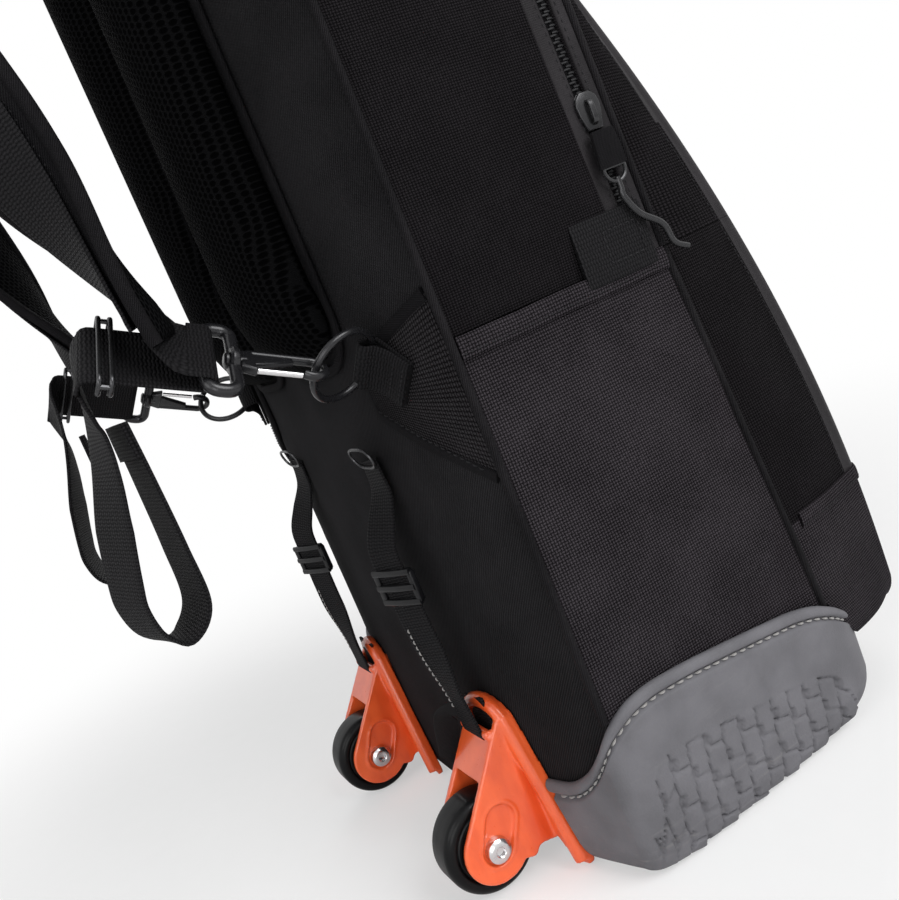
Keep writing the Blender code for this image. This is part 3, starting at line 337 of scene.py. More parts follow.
@dataclass(frozen=True)
class Twill:
    """A fine cloth with slanting ribs."""

    name: str
    dark: Colour
    light: Colour
    pitch: float
    depth: float
    roughness: float = 0.78
    lay: Lay = Lay.CUT

    def material(self) -> bpy.types.Material:
        """Slanting ribs crossed by short floats, lighter on the ribs with painted shade in the grooves, and soft
        patches.
        """
        graph = Graph(self.name)
        across, along = (axis / self.pitch for axis in graph.cloth(self.lay))
        rib = (across * 0.9 + along * 0.6).wave()
        float_yarn = (along * 0.9 - across * 0.5).wave()
        height = rib * (float_yarn * 0.35 + 0.65)
        patches = graph.cloud(0.05).ease(0.3, 0.7)
        fibre = graph.cloud(0.002, 2)
        graph.relief(height + fibre * 0.3, self.depth)
        graph.fixed(Specular_IOR_Level=0.03)
        # Painted shade: the colour follows the ribs' height, darker in the grooves between them; the patches and the
        # fibre are the cloth's own tone.
        shade = height * 0.5 + patches * 0.25 + fibre * 0.4 - 0.15
        return graph.paint(graph.tint(shade, self.dark, self.light), self.roughness + 0.15 - height * 0.2)


@dataclass(frozen=True)
class Coated:
    """A smooth cloth with a dull waterproof skin."""

    name: str
    dark: Colour
    light: Colour
    roughness: float = 0.5

    def material(self) -> bpy.types.Material:
        """A faint grid under the skin, fine grain and rubbed patches."""
        graph = Graph(self.name)
        across, along = (axis / 0.0011 for axis in graph.cloth(Lay.CUT))
        grid = across.wave() * along.wave()
        grain = graph.cloud(0.0016, 3)
        rubbed = graph.cloud(0.06).ease(0.35, 0.75)
        graph.relief(grid * 0.5 + grain * 0.6, 0.00014)
        graph.fixed(Specular_IOR_Level=0.08)
        shade = rubbed * 0.6 + grain * 0.5 - 0.1
        return graph.paint(graph.tint(shade, self.dark, self.light), self.roughness + rubbed * 0.12 - 0.04)


@dataclass(frozen=True)
class AirMesh:
    """A spacer mesh with rows of small oval holes."""

    name: str
    # Colour of the holes: painted shade inside them.
    hole: Colour
    yarn: Colour
    pitch: tuple[float, float] = (0.0030, 0.0037)
    depth: float = 0.0010
    lay: Lay = Lay.BACK

    def material(self) -> bpy.types.Material:
        """Staggered rows of holes between knitted bars, with painted shade in the holes."""
        graph = Graph(self.name)
        across, along = graph.cloth(self.lay)
        column = across / self.pitch[0]
        row = along / self.pitch[1] + (column.floor() % 2) * 0.5
        side = abs(column % 1 - 0.5) * 2
        end = abs(row % 1 - 0.5) * 2
        reach = side ** 2 * 1.5 + end ** 2 * 1.25
        bar = reach.ease(0.35, 1.1)
        knit = (across / 0.0009).wave() * 0.35 + (along / 0.0011).wave() * 0.35
        graph.relief(bar * 0.8 + knit * bar * 0.4, self.depth)
        graph.fixed(Specular_IOR_Level=0.02)
        fibre = graph.cloud(0.0018, 2)
        # Painted shade: the holes take the dark colour and the knitted bars the lighter one.
        return graph.paint(graph.tint(bar * (0.55 + fibre * 0.7), self.hole, self.yarn), 0.95 - bar * 0.2)


@dataclass(frozen=True)
class Webbing:
    """A woven strap with ribs across it and firm edges."""

    name: str
    dark: Colour
    light: Colour
    pitch: float = 0.0018
    depth: float = 0.0007
    roughness: float = 0.55

    def material(self) -> bpy.types.Material:
        """Ribs over the length, broken in columns over the width, with painted shade in the grooves between the ribs.
        """
        graph = Graph(self.name)
        across, along = graph.cloth(Lay.CUT)
        column = across / (self.pitch * 1.3)
        shift = (column.floor() % 2) * 0.22
        rib = (along / self.pitch + shift).wave()
        yarn = column.wave()
        fibre = graph.cloud(0.0016, 2)
        height = rib * 0.7 + yarn * 0.3
        graph.relief(height + fibre * 0.25, self.depth)
        graph.fixed(Specular_IOR_Level=0.06)
        # Painted shade: the colour follows the ribs' height, darker in the grooves; the fibre is the webbing's own
        # tone.
        shade = height * 0.7 + fibre * 0.5 - 0.2
        return graph.paint(graph.tint(shade, self.dark, self.light), self.roughness + 0.25 - height * 0.25)


@dataclass(frozen=True)
class Rubber:
    """Dull moulded rubber with a fine grain and pale scuffs."""

    name: str
    deep: Colour
    face: Colour
    scuff: Colour
    roughness: float = 0.58

    def material(self) -> bpy.types.Material:
        """Fine grain, soft patches and rubbed places near the ground."""
        graph = Graph(self.name)
        grain = graph.cloud(0.0012, 3)
        patches = graph.cloud(0.03, 4).ease(0.3, 0.72)
        streak = graph.cloud(0.010, 4, (1, 0.25, 3)).ease(0.58, 0.78)
        height = Value(graph, graph.node("ShaderNodeSeparateXYZ",
                                         sockets={"Vector": graph.place()}).outputs["Z"])
        ground = 1 - height.ease(0.004, 0.045)
        body = graph.tint(patches * 0.7 + grain * 0.3, self.deep, self.face)
        worn = streak * (ground * 0.6 + 0.14)
        graph.relief(grain, 0.00022)
        graph.fixed(Specular_IOR_Level=0.22)
        return graph.paint(graph.tint(worn, body, self.scuff), self.roughness + worn * 0.25 + grain * 0.12)


@dataclass(frozen=True)
class Moulded:
    """Hard moulded plastic."""

    name: str
    deep: Colour
    face: Colour
    roughness: float
    coat: float = 0.0
    grain: float = 0.00004
    shine: float = 0.5

    def material(self) -> bpy.types.Material:
        """Flow marks, faint orange peel and rubbed dull spots."""
        graph = Graph(self.name)
        flow = graph.cloud(0.018, 4, (1, 1.6, 0.6))
        peel = graph.cloud(0.0022, 2)
        rubbed = graph.cloud(0.009, 5).ease(0.62, 0.75)
        graph.relief(peel, self.grain)
        graph.fixed(Coat_Weight=self.coat, Coat_Roughness=0.08, Specular_IOR_Level=self.shine)
        colour = graph.tint(flow.ease(0.25, 0.75), self.deep, self.face)
        return graph.paint(colour, self.roughness + rubbed * 0.12 + peel * 0.05)


@dataclass(frozen=True)
class Metal:
    """Plated or black-lacquered metal."""

    name: str
    deep: Colour
    face: Colour
    roughness: float
    metallic: float = 1.0

    def material(self) -> bpy.types.Material:
        """Fine wire drawing, with a few dull specks."""
        graph = Graph(self.name)
        drawn = graph.cloud(0.0006, 2, (1, 1, 0.2))
        speck = graph.cloud(0.004, 5).ease(0.6, 0.74)
        graph.relief(drawn, 0.00002)
        graph.fixed(Metallic=self.metallic, Specular_IOR_Level=0.5)
        colour = graph.tint(drawn * 0.5 + speck * 0.5, self.face, self.deep)
        return graph.paint(colour, self.roughness + speck * 0.2 + drawn * 0.08)


@dataclass(frozen=True)
class Thread:
    """Sewing thread of two twisted strands."""

    name: str
    dark: Colour
    light: Colour

    def material(self) -> bpy.types.Material:
        """Fine slanting strands with a soft fuzz."""
        graph = Graph(self.name)
        twist = graph.cloud(0.0005, 2, (1.4, 1, 0.7))
        graph.relief(twist, 0.00015)
        graph.fixed(Specular_IOR_Level=0.12)
        return graph.paint(graph.tint(twist, self.dark, self.light), 0.65 + twist * 0.2)


Finish = Weave | Twill | Coated | AirMesh | Webbing | Rubber | Moulded | Metal | Thread


@cache
def dressed(finish: Finish) -> bpy.types.Material:
    """The material of a finish, made on first use."""
    return finish.material()


BALLISTIC = Weave("ballistic_cloth", (0.0062, 0.0053, 0.0062), (0.062, 0.055, 0.062), 0.0018, 0.0011)
# A darker copy of the ballistic cloth: painted shade for the pocket's side gussets.
GUSSET_CLOTH_SHADED = Weave("gusset_cloth", (0.0018, 0.0016, 0.0018), (0.019, 0.017, 0.019), 0.0018, 0.0011)
SIDE_CLOTH = Weave("side_cloth", (0.0027, 0.0024, 0.0028), (0.0188, 0.0170, 0.0188), 0.0014, 0.0007, 0.75)
PATCH_CLOTH = Weave("patch_cloth", (0.0036, 0.0034, 0.0038), (0.045, 0.0422, 0.045), 0.0018, 0.0011)
BACK_TWILL = Twill("back_twill", (0.0050, 0.0050, 0.0054), (0.0300, 0.0289, 0.0310), 0.0015, 0.0006)
PIPING = Twill("piping_cover", (0.0030, 0.0030, 0.0034), (0.023, 0.0215, 0.0235), 0.0011, 0.0004, 0.50)
BINDING = Twill("edge_binding", (0.0035, 0.0035, 0.004), (0.017, 0.016, 0.0175), 0.0010, 0.0004, 0.7)
LABEL_CLOTH = Twill("label_cloth", (0.010, 0.010, 0.011), (0.030, 0.029, 0.030), 0.0008, 0.0003, 0.6)
LINING = Twill("inner_lining", (0.010, 0.010, 0.011), (0.026, 0.026, 0.028), 0.0012, 0.0003)
SKIN = Coated("coated_skin", (0.011, 0.010, 0.011), (0.028, 0.0256, 0.028))
PAD_MESH = AirMesh("pad_mesh", (0.0006, 0.0006, 0.0007), (0.0042, 0.0042, 0.0046))
STRAP_MESH = AirMesh("strap_mesh", (0.0008, 0.0008, 0.001), (0.006, 0.006, 0.0065), (0.003, 0.0042), 0.0008, Lay.CUT)
STRAP_CLOTH = Twill("strap_cloth", (0.0030, 0.0030, 0.0036), (0.0125, 0.012, 0.013), 0.0012, 0.0004, 0.68)
STRAP_WEB = Webbing("strap_webbing", (0.0028, 0.0028, 0.0032), (0.017, 0.0163, 0.0177))
TIE_WEB = Webbing("tie_webbing", (0.0025, 0.0025, 0.0029), (0.019, 0.0183, 0.0197), 0.0019)
BOOT_RUBBER = Rubber("boot_rubber", (0.1062, 0.1044, 0.1134), (0.1548, 0.1521, 0.1656), (0.2115, 0.2052, 0.2052))
BRACKET_ORANGE = Moulded("bracket_orange", (0.74, 0.088, 0.018), (0.90, 0.135, 0.032), 0.26, 0.4)
TYRE_BLACK = Moulded("tyre_black", (0.0022, 0.0022, 0.0026), (0.0055, 0.0055, 0.006), 0.34, 0.10, shine=0.10)
HUB_BLACK = Moulded("hub_black", (0.006, 0.006, 0.007), (0.014, 0.014, 0.015), 0.38, shine=0.2)
BUCKLE_BLACK = Moulded("buckle_black", (0.004, 0.004, 0.005), (0.009, 0.009, 0.010), 0.36, shine=0.25)
CHROME = Metal("chrome_plate", (0.50, 0.49, 0.49), (0.74, 0.73, 0.74), 0.16)
BLACK_METAL = Metal("black_lacquer", (0.008, 0.008, 0.009), (0.018, 0.018, 0.020), 0.22, 0.35)
WIRE_METAL = Metal("black_wire", (0.022, 0.022, 0.024), (0.065, 0.065, 0.068), 0.24, 0.85)
HOOK_WIRE = Metal("hook_wire", (0.012, 0.012, 0.013), (0.034, 0.034, 0.036), 0.20, 0.6)
COIL = Moulded("zip_coil", (0.005, 0.005, 0.006), (0.012, 0.012, 0.013), 0.42, shine=0.25)
BOARD = Moulded("base_board_plastic", (0.020, 0.020, 0.021), (0.036, 0.036, 0.038), 0.55, 0.0, 0.0001)
PALE_THREAD = Thread("pale_thread", (0.20, 0.195, 0.19), (0.42, 0.41, 0.40))
GREY_THREAD = Thread("grey_thread", (0.095, 0.092, 0.10), (0.20, 0.195, 0.21))
BLACK_THREAD = Thread("black_thread", (0.006, 0.006, 0.007), (0.030, 0.029, 0.031))


# ------------------------------------------------------------------ mesh tools


def ease(start: float, end: float, value: "float | np.ndarray") -> "float | np.ndarray":
    """A soft step from 0 at start to 1 at end."""
    share = np.clip((value - start) / (end - start), 0, 1)
    return share * share * (3 - 2 * share)


def ripple(point: Numbers, size: float, seed: float = 0.0) -> float:
    """Smooth noise about 0 at a point, for folds of a given size."""
    return noise.noise(Vector(point) / size + Vector((seed, seed * 0.7, seed * 1.3)))


def smooth(points: Iterable[Numbers], steps: int = 6) -> np.ndarray:
    """A smooth curve through every point of a route.

    Args:
        points: The route.
        steps: How many short pieces lie between two points.

    Returns:
        The curve's points, one row each.
    """
    route = np.array(list(points), float)
    ends = np.vstack([2 * route[0] - route[1], route, 2 * route[-1] - route[-2]])
    made = [route[0]]
    for before, start, end, after in zip(ends, ends[1:], ends[2:], ends[3:]):
        for step in range(1, steps + 1):
            t = step / steps
            made.append(0.5 * (2 * start + (end - before) * t
                               + (2 * before - 5 * start + 4 * end - after) * t**2
                               + (3 * start - before - 3 * end + after) * t**3))
    return np.array(made)


def even(path: np.ndarray, gap: float) -> np.ndarray:
    """A path's points again, at an even distance close to gap."""
    length = np.concatenate([[0], np.cumsum(np.linalg.norm(np.diff(path, axis=0), axis=1))])
    places = np.linspace(0, length[-1], max(2, round(length[-1] / gap) + 1))
    return np.stack([np.interp(places, length, axis) for axis in path.T], axis=1)


def run_length(path: np.ndarray) -> np.ndarray:
    """Distance along a path at each of its points."""
    return np.concatenate([[0], np.cumsum(np.linalg.norm(np.diff(path, axis=0), axis=1))])


def arc(centre: Numbers, radius: float, start: float, end: float, steps: int) -> list[tuple[float, float]]:
    """Points on a circle from one angle to another, in degrees."""
    turns = np.radians(np.linspace(start, end, steps + 1))
    return [(centre[0] + radius * math.cos(t), centre[1] + radius * math.sin(t)) for t in turns]


def unit(vectors: np.ndarray) -> np.ndarray:
    """Vectors at a length of 1."""
    return vectors / np.maximum(np.linalg.norm(vectors, axis=-1, keepdims=True), 1e-12)


def new_mesh(points: np.ndarray, faces: list, cut: np.ndarray | None = None) -> bpy.types.Mesh:
    """A welded mesh with faces outward and, where given, a cloth map.

    Args:
        points: One row per corner.
        faces: Corner numbers of each face.
        cut: Cloth coordinates per corner.

    Returns:
        The mesh.
    """
    mesh = bpy.data.meshes.new("piece")
    mesh.from_pydata(points.tolist(), [], faces)
    if cut is not None:
        corners = np.zeros(len(mesh.loops), int)
        mesh.loops.foreach_get("vertex_index", corners)
        mesh.uv_layers.new(name=CLOTH_MAP).data.foreach_set("uv", cut[corners].astype(np.float32).ravel())
    work = bmesh.new()
    work.from_mesh(mesh)
    bmesh.ops.remove_doubles(work, verts=work.verts, dist=2e-6)
    bmesh.ops.dissolve_degenerate(work, edges=work.edges, dist=1e-7)
    bmesh.ops.recalc_face_normals(work, faces=work.faces)
    work.to_mesh(mesh)
    work.free()
    return mesh


def net(rows: int, columns: int, start: int = 0) -> list[tuple[int, int, int, int]]:
    """Four-cornered faces of a grid of corners."""
    return [(start + r * columns + c, start + r * columns + c + 1,
             start + (r + 1) * columns + c + 1, start + (r + 1) * columns + c)
            for r in range(rows - 1) for c in range(columns - 1)]


def cut_map(points: np.ndarray) -> np.ndarray:
    """Cloth coordinates of a grid: mean distance across its columns and along its rows."""
    across = np.linalg.norm(np.diff(points, axis=1), axis=2).mean(0)
    along = np.linalg.norm(np.diff(points, axis=0), axis=2).mean(1)
    u, v = np.concatenate([[0], across.cumsum()]), np.concatenate([[0], along.cumsum()])
    return np.stack(np.broadcast_arrays(u[None, :], v[:, None]), axis=-1)


def grid_normals(points: np.ndarray) -> np.ndarray:
    """Unit normals of a grid of points, by its rows and columns."""
    return unit(np.cross(np.gradient(points, axis=1), np.gradient(points, axis=0)))


def cloth_sheet(points: np.ndarray, thick: float, cut: np.ndarray | None = None,
                inward: Numbers | None = None) -> bpy.types.Mesh:
    """A closed sheet of even thickness over a grid of points on its outer face.

    Args:
        points: Rows by columns by three.
        thick: How far the inner face lies behind.
        cut: Cloth coordinates, measured off the grid if left out.
        inward: A direction that the inner face lies toward.

    Returns:
        The closed mesh.
    """
    rows, columns = points.shape[:2]
    behind = grid_normals(points)
    if inward is not None:
        behind = behind * np.where((behind @ np.array(inward, float)) < 0, -1, 1)[..., None]
    cut = cut_map(points) if cut is None else cut
    both = np.concatenate([points.reshape(-1, 3), (points + behind * thick).reshape(-1, 3)])
    count = rows * columns
    rim = ([c for c in range(columns)] + [r * columns + columns - 1 for r in range(1, rows)]
           + [count - 1 - c for c in range(1, columns)] + [r * columns for r in range(rows - 2, 0, -1)])
    faces = net(rows, columns) + [face[::-1] for face in net(rows, columns, count)]
    faces += [(a, b, b + count, a + count) for a, b in zip(rim, rim[1:] + rim[:1])]
    return new_mesh(both, faces, np.concatenate([cut.reshape(-1, 2)] * 2))


def frames(path: np.ndarray, up: "Numbers | np.ndarray | None", closed: bool) -> tuple[np.ndarray, np.ndarray]:
    """Across and up directions at each point of a path.

    Args:
        path: The points.
        up: One direction, or one per point, that the section's height follows; left out, the
            section is carried along without twist.
        closed: Whether the path joins its own start.

    Returns:
        The across and up directions.
    """
    ahead = np.roll(path, -1, 0) - np.roll(path, 1, 0) if closed else np.gradient(path, axis=0)
    along = unit(ahead)
    if up is None:
        first = np.eye(3)[np.argmin(np.abs(along[0]))]
        ups = [unit(first - along[0] * (first @ along[0]))]
        for direction in along[1:]:
            ups.append(unit(ups[-1] - direction * (ups[-1] @ direction)))
        up = np.array(ups)
    across = unit(np.cross(along, np.broadcast_to(np.array(up, float), path.shape)))
    return across, np.cross(across, along)


def swept(path: np.ndarray, section: np.ndarray, up: "Numbers | np.ndarray | None" = None,
          closed: bool = False, scale: "np.ndarray | None" = None) -> bpy.types.Mesh:
    """A section carried along a path, with closed ends.

    Args:
        path: The points of the way.
        section: Closed outline of (across, up) pairs.
        up: Direction of the section's height, as in frames.
        closed: Whether the path joins its own start.
        scale: Size of the section at each point, one number or a pair.

    Returns:
        The closed mesh, whose cloth map runs round the section and along the path.
    """
    across, high = frames(path, up, closed)
    sizes = np.ones((len(path), 2)) if scale is None else np.broadcast_to(
        np.reshape(scale, (len(path), -1)), (len(path), 2))
    loop = np.vstack([section, section[:1]])
    rows = (path[:, None] + across[:, None] * (loop[None, :, :1] * sizes[:, None, :1])
            + high[:, None] * (loop[None, :, 1:] * sizes[:, None, 1:]))
    along = run_length(path)
    if closed:
        rows = np.concatenate([rows, rows[:1]])
        along = np.append(along, along[-1] + np.linalg.norm(path[0] - path[-1]))
    round_section = run_length(loop)
    cut = np.stack(np.broadcast_arrays(round_section[None, :], along[:, None]), axis=-1)
    count, columns = rows.shape[:2]
    faces = net(count, columns)
    if not closed:
        faces += [tuple(range(columns - 1))[::-1], tuple((count - 1) * columns + c for c in range(columns - 1))]
    return new_mesh(rows.reshape(-1, 3), faces, cut.reshape(-1, 2))


def round_section(radius: float, sides: int = 10) -> np.ndarray:
    """A round section."""
    turns = np.linspace(0, 2 * math.pi, sides, endpoint=False)
    return np.stack([np.cos(turns), np.sin(turns)], 1) * radius


def flat_section(width: float, thick: float, steps: int = 3, columns: int = 6, dome: float = 0.0) -> np.ndarray:
    """A flat section with round edges, for webbing, tape and binding.

    Args:
        width: Across the whole section.
        thick: Its thickness at the edges.
        steps: Points on each quarter of an edge.
        columns: Points along each face.
        dome: How far each face swells at its middle.

    Returns:
        The outline, once round.
    """
    half, edge = width / 2 - thick / 2, thick / 2
    right = arc((half, 0), edge, -90, 90, 2 * steps)
    left = arc((-half, 0), edge, 90, 270, 2 * steps)
    shares = np.linspace(1, -1, columns + 1)[1:-1]
    top = [(half * s, edge + dome * (1 - s * s)) for s in shares]
    return np.array([*right, *top, *left, *((-x, -z) for x, z in top)])


def turned(profile: Iterable[Numbers], steps: int, place: Matrix) -> bpy.types.Mesh:
    """A profile of (radius, height) pairs turned about Z and set in place.

    Args:
        profile: The pairs; a profile that leaves the axis is closed on itself.
        steps: How many steps make a whole turn.
        place: Where it goes.

    Returns:
        The closed mesh.
    """
    line = np.array(list(profile), float)
    if line[0, 0] > 0:
        line = np.vstack([line, line[:1]])
    turns = np.linspace(0, 2 * math.pi, steps + 1)
    rows = np.stack([np.outer(np.cos(turns), line[:, 0]), np.outer(np.sin(turns), line[:, 0]),
                     np.broadcast_to(line[:, 1], (steps + 1, len(line)))], axis=-1)
    mesh = new_mesh(rows.reshape(-1, 3), net(*rows.shape[:2]))
    mesh.transform(place)
    return mesh


def plate(outlines: Iterable[Iterable[Numbers]], thick: float, edge: float, place: Matrix,
          rounds: int = 2) -> bpy.types.Mesh:
    """A flat outline, with holes, of even thickness and rounded edges.

    Args:
        outlines: The outline and its holes, as (x, y) pairs.
        thick: The whole thickness, centred on the plane.
        edge: Radius of its edges.
        place: Where it goes.
        rounds: Steps of each rounded edge.

    Returns:
        The closed mesh.
    """
    curve = bpy.data.curves.new("outline", "CURVE")
    curve.dimensions, curve.fill_mode = "2D", "BOTH"
    curve.extrude = thick / 2 - edge
    curve.bevel_depth, curve.bevel_resolution, curve.offset = edge, rounds, -edge
    for outline in outlines:
        corners = list(outline)
        spline = curve.splines.new("POLY")
        spline.points.add(len(corners) - 1)
        for point, (x, y) in zip(spline.points, corners):
            point.co = (x, y, 0, 1)
        spline.use_cyclic_u = True
    mesh = shown_mesh(bpy.data.objects.new("outline", curve))
    mesh.transform(place)
    work = bmesh.new()
    work.from_mesh(mesh)
    bmesh.ops.remove_doubles(work, verts=work.verts, dist=1e-6)
    bmesh.ops.recalc_face_normals(work, faces=work.faces)
    work.to_mesh(mesh)
    work.free()
    return mesh


def shown_mesh(holder: bpy.types.Object) -> bpy.types.Mesh:
    """The mesh that an object shows with its modifiers, with the object itself taken away."""
    bpy.context.scene.collection.objects.link(holder)
    graph = bpy.context.evaluated_depsgraph_get()
    mesh = bpy.data.meshes.new_from_object(holder.evaluated_get(graph), depsgraph=graph)
    bpy.data.objects.remove(holder)
    return mesh


def joined(meshes: Iterable[bpy.types.Mesh]) -> bpy.types.Mesh:
    """Several meshes as one."""
    work = bmesh.new()
    for mesh in meshes:
        work.from_mesh(mesh)
    made = bpy.data.meshes.new("piece")
    work.to_mesh(made)
    work.free()
    return made


def fused(meshes: Iterable[bpy.types.Mesh], grain: float, rounds: int) -> bpy.types.Mesh:
    """Overlapping solids moulded into one, with soft inner corners.

    Args:
        meshes: Closed solids.
        grain: Size of the steps that it is rebuilt from.
        rounds: How often it is smoothed.

    Returns:
        One closed mesh.
    """
    holder = bpy.data.objects.new("moulding", joined(meshes))
    remesh = holder.modifiers.new("rebuild", "REMESH")
    remesh.mode, remesh.voxel_size = "VOXEL", grain
    soften = holder.modifiers.new("soften", "SMOOTH")
    soften.factor, soften.iterations = 0.5, rounds
    return shown_mesh(holder)


def stitches(path: np.ndarray, up: "Numbers | np.ndarray", pitch: float = 0.0042, length: float = 0.0030,
             radius: float = 0.00042) -> bpy.types.Mesh:
    """A run of separate stitches lying on a surface.

    Args:
        path: The seam line.
        up: The way that the surface faces, once or per point.
        pitch: From one stitch to the next.
        length: Of each stitch.
        radius: Of the thread.

    Returns:
        One mesh of all of them.
    """
    ups = np.broadcast_to(np.array(up, float), path.shape)
    along = run_length(path)
    centres = np.arange(pitch / 2, along[-1], pitch)
    bend = np.linspace(-1, 1, 5)
    section = round_section(radius, 6)
    made = []
    for centre in centres:
        places = np.clip(centre + bend * length / 2, 0, along[-1])
        line = np.stack([np.interp(places, along, axis) for axis in path.T], 1)
        rise = unit(np.stack([np.interp(places, along, axis) for axis in ups.T], 1))
        line = line + rise * (radius * 1.3 * (1 - bend**2) - radius * 0.6)[:, None]
        made.append(swept(line, section, rise, scale=np.sqrt(1.04 - bend**2)))
    return joined(made)


def pressed(mesh: bpy.types.Mesh, grain: float, limit: float) -> bpy.types.Mesh:
    """A pad swelled by simulated cloth under pressure.

    Args:
        mesh: A closed shape a little smaller than the pad.
        grain: Size of the cloth's squares.
        limit: The farthest that a point may move.

    Returns:
        The swelled mesh.
    """
    holder = bpy.data.objects.new("pad", mesh)
    remesh = holder.modifiers.new("rebuild", "REMESH")
    remesh.mode, remesh.voxel_size = "VOXEL", grain
    holder = bpy.data.objects.new("pad", shown_mesh(holder))
    scene = bpy.context.scene
    scene.collection.objects.link(holder)
    start = np.array([corner.co for corner in holder.data.vertices])
    cloth = holder.modifiers.new("swell", "CLOTH").settings
    cloth.use_pressure, cloth.uniform_pressure_force = True, 4.0
    cloth.effector_weights.gravity = 0
    for step in range(1, 21):
        scene.frame_set(step)
    graph = bpy.context.evaluated_depsgraph_get()
    swelled = bpy.data.meshes.new_from_object(holder.evaluated_get(graph), depsgraph=graph)
    bpy.data.objects.remove(holder)
    scene.frame_set(1)
    end = np.array([corner.co for corner in swelled.vertices])
    move = end - start
    far = np.linalg.norm(move, axis=1, keepdims=True)
    end = start + move * np.minimum(1, limit / np.maximum(far, 1e-9))
    swelled.vertices.foreach_set("co", end.astype(np.float32).ravel())
    swelled.update()
    return swelled


@dataclass(frozen=True)
class Shop:
    """Sets finished meshes into the frame."""

    def add(self, name: str, mesh: bpy.types.Mesh, finishes: "Finish | Sequence[Finish]", slot: Slot,
            body: str = "case", stands_for: Sequence[str] = (), round_below: float = 40.0) -> bpy.types.Object:
        """Make one piece, dress it and let it ride on a body.

        Args:
            name: The piece's name.
            mesh: Its mesh, drawn from the back seam.
            finishes: One finish, or one for each material number in the mesh.
            slot: Not used.
            body: The body that carries it.
            stands_for: The CAD nodes that it replaces.
            round_below: The sharpest angle, in degrees, that is still shaded round.

        Returns:
            The piece.
        """
        mesh.transform(Matrix.Translation((0, SEAM_Y, 0)))
        for finish in finishes if isinstance(finishes, (list, tuple)) else (finishes,):
            mesh.materials.append(dressed(finish))
        mesh.shade_smooth()
        mesh.set_sharp_from_angle(angle=math.radians(round_below))
        piece = bpy.data.objects.new(name, mesh)
        bpy.context.scene.collection.objects.link(piece)
        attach(piece, body)
        if stands_for:
            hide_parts(*stands_for)
        LOG.info("%s on %s: %d faces", name, body, len(mesh.polygons))
        return piece


SHOP = Shop()


# ------------------------------------------------------------------ the sewn case


@dataclass(frozen=True)
class CaseLines:
    """The lines that every panel is cut to."""

    half: float = 0.180
    height: float = 1.225
    corner: float = 0.090
    floor: float = 0.0078
    seam: float = 0.315
    crown_rise: float = 0.028
    foot_depth: float = 0.172
    lower_taper: float = 0.100
    upper_taper: float = 0.045
    zip_inset: float = 0.014
    pocket_reach: float = 0.245
    pocket_shoulder: float = 0.080
    pocket_fall: float = 0.60

    @property
    def arch(self) -> float:
        """Height where the round top corners begin."""
        return self.height - self.corner

    def crown(self, x: "float | np.ndarray") -> "float | np.ndarray":
        """Y of the padded back face."""
        return self.crown_rise * (1 - np.minimum(np.abs(x / self.half), 1) ** 3)

    def front(self, z: "float | np.ndarray") -> "float | np.ndarray":
        """Y of the front seam, which leans back as it rises."""
        lower = self.foot_depth - self.lower_taper * np.minimum(z, self.seam)
        return -(lower - self.upper_taper * np.maximum(z - self.seam, 0))

    def zip(self, z: "float | np.ndarray") -> "float | np.ndarray":
        """Y of the zip that parts the lid from the side panels."""
        return self.front(z) + self.zip_inset

    def pocket(self, z: "float | np.ndarray") -> "float | np.ndarray":
        """Y of the pocket's front face."""
        return self.pocket_fall * np.maximum(z - self.pocket_shoulder, 0) ** 2 - self.pocket_reach

    def half_at(self, z: np.ndarray) -> np.ndarray:
        """Half the width at a height, less where the top corners are round."""
        up = np.clip(z - self.arch, 0, self.corner)
        return self.half - self.corner + np.sqrt(np.maximum(self.corner**2 - up**2, 0))

    def over_top(self, foot: float, gap: float = 0.006) -> tuple[np.ndarray, np.ndarray]:
        """The edge of the case seen from the front, up the left, over the top and down the right.

        Args:
            foot: Height where it starts and ends.
            gap: Distance between its points.

        Returns:
            Points (x, z) and the outward directions there.
        """
        inner = self.half - self.corner
        left = arc((-inner, self.arch), self.corner, 180, 90, 24)
        right = arc((inner, self.arch), self.corner, 90, 0, 24)
        line = even(np.array([(-self.half, foot), *left, *right, (self.half, foot)]), gap)
        along = unit(np.gradient(line, axis=0))
        return line, np.stack([-along[:, 1], along[:, 0]], 1)


LINES = CaseLines()


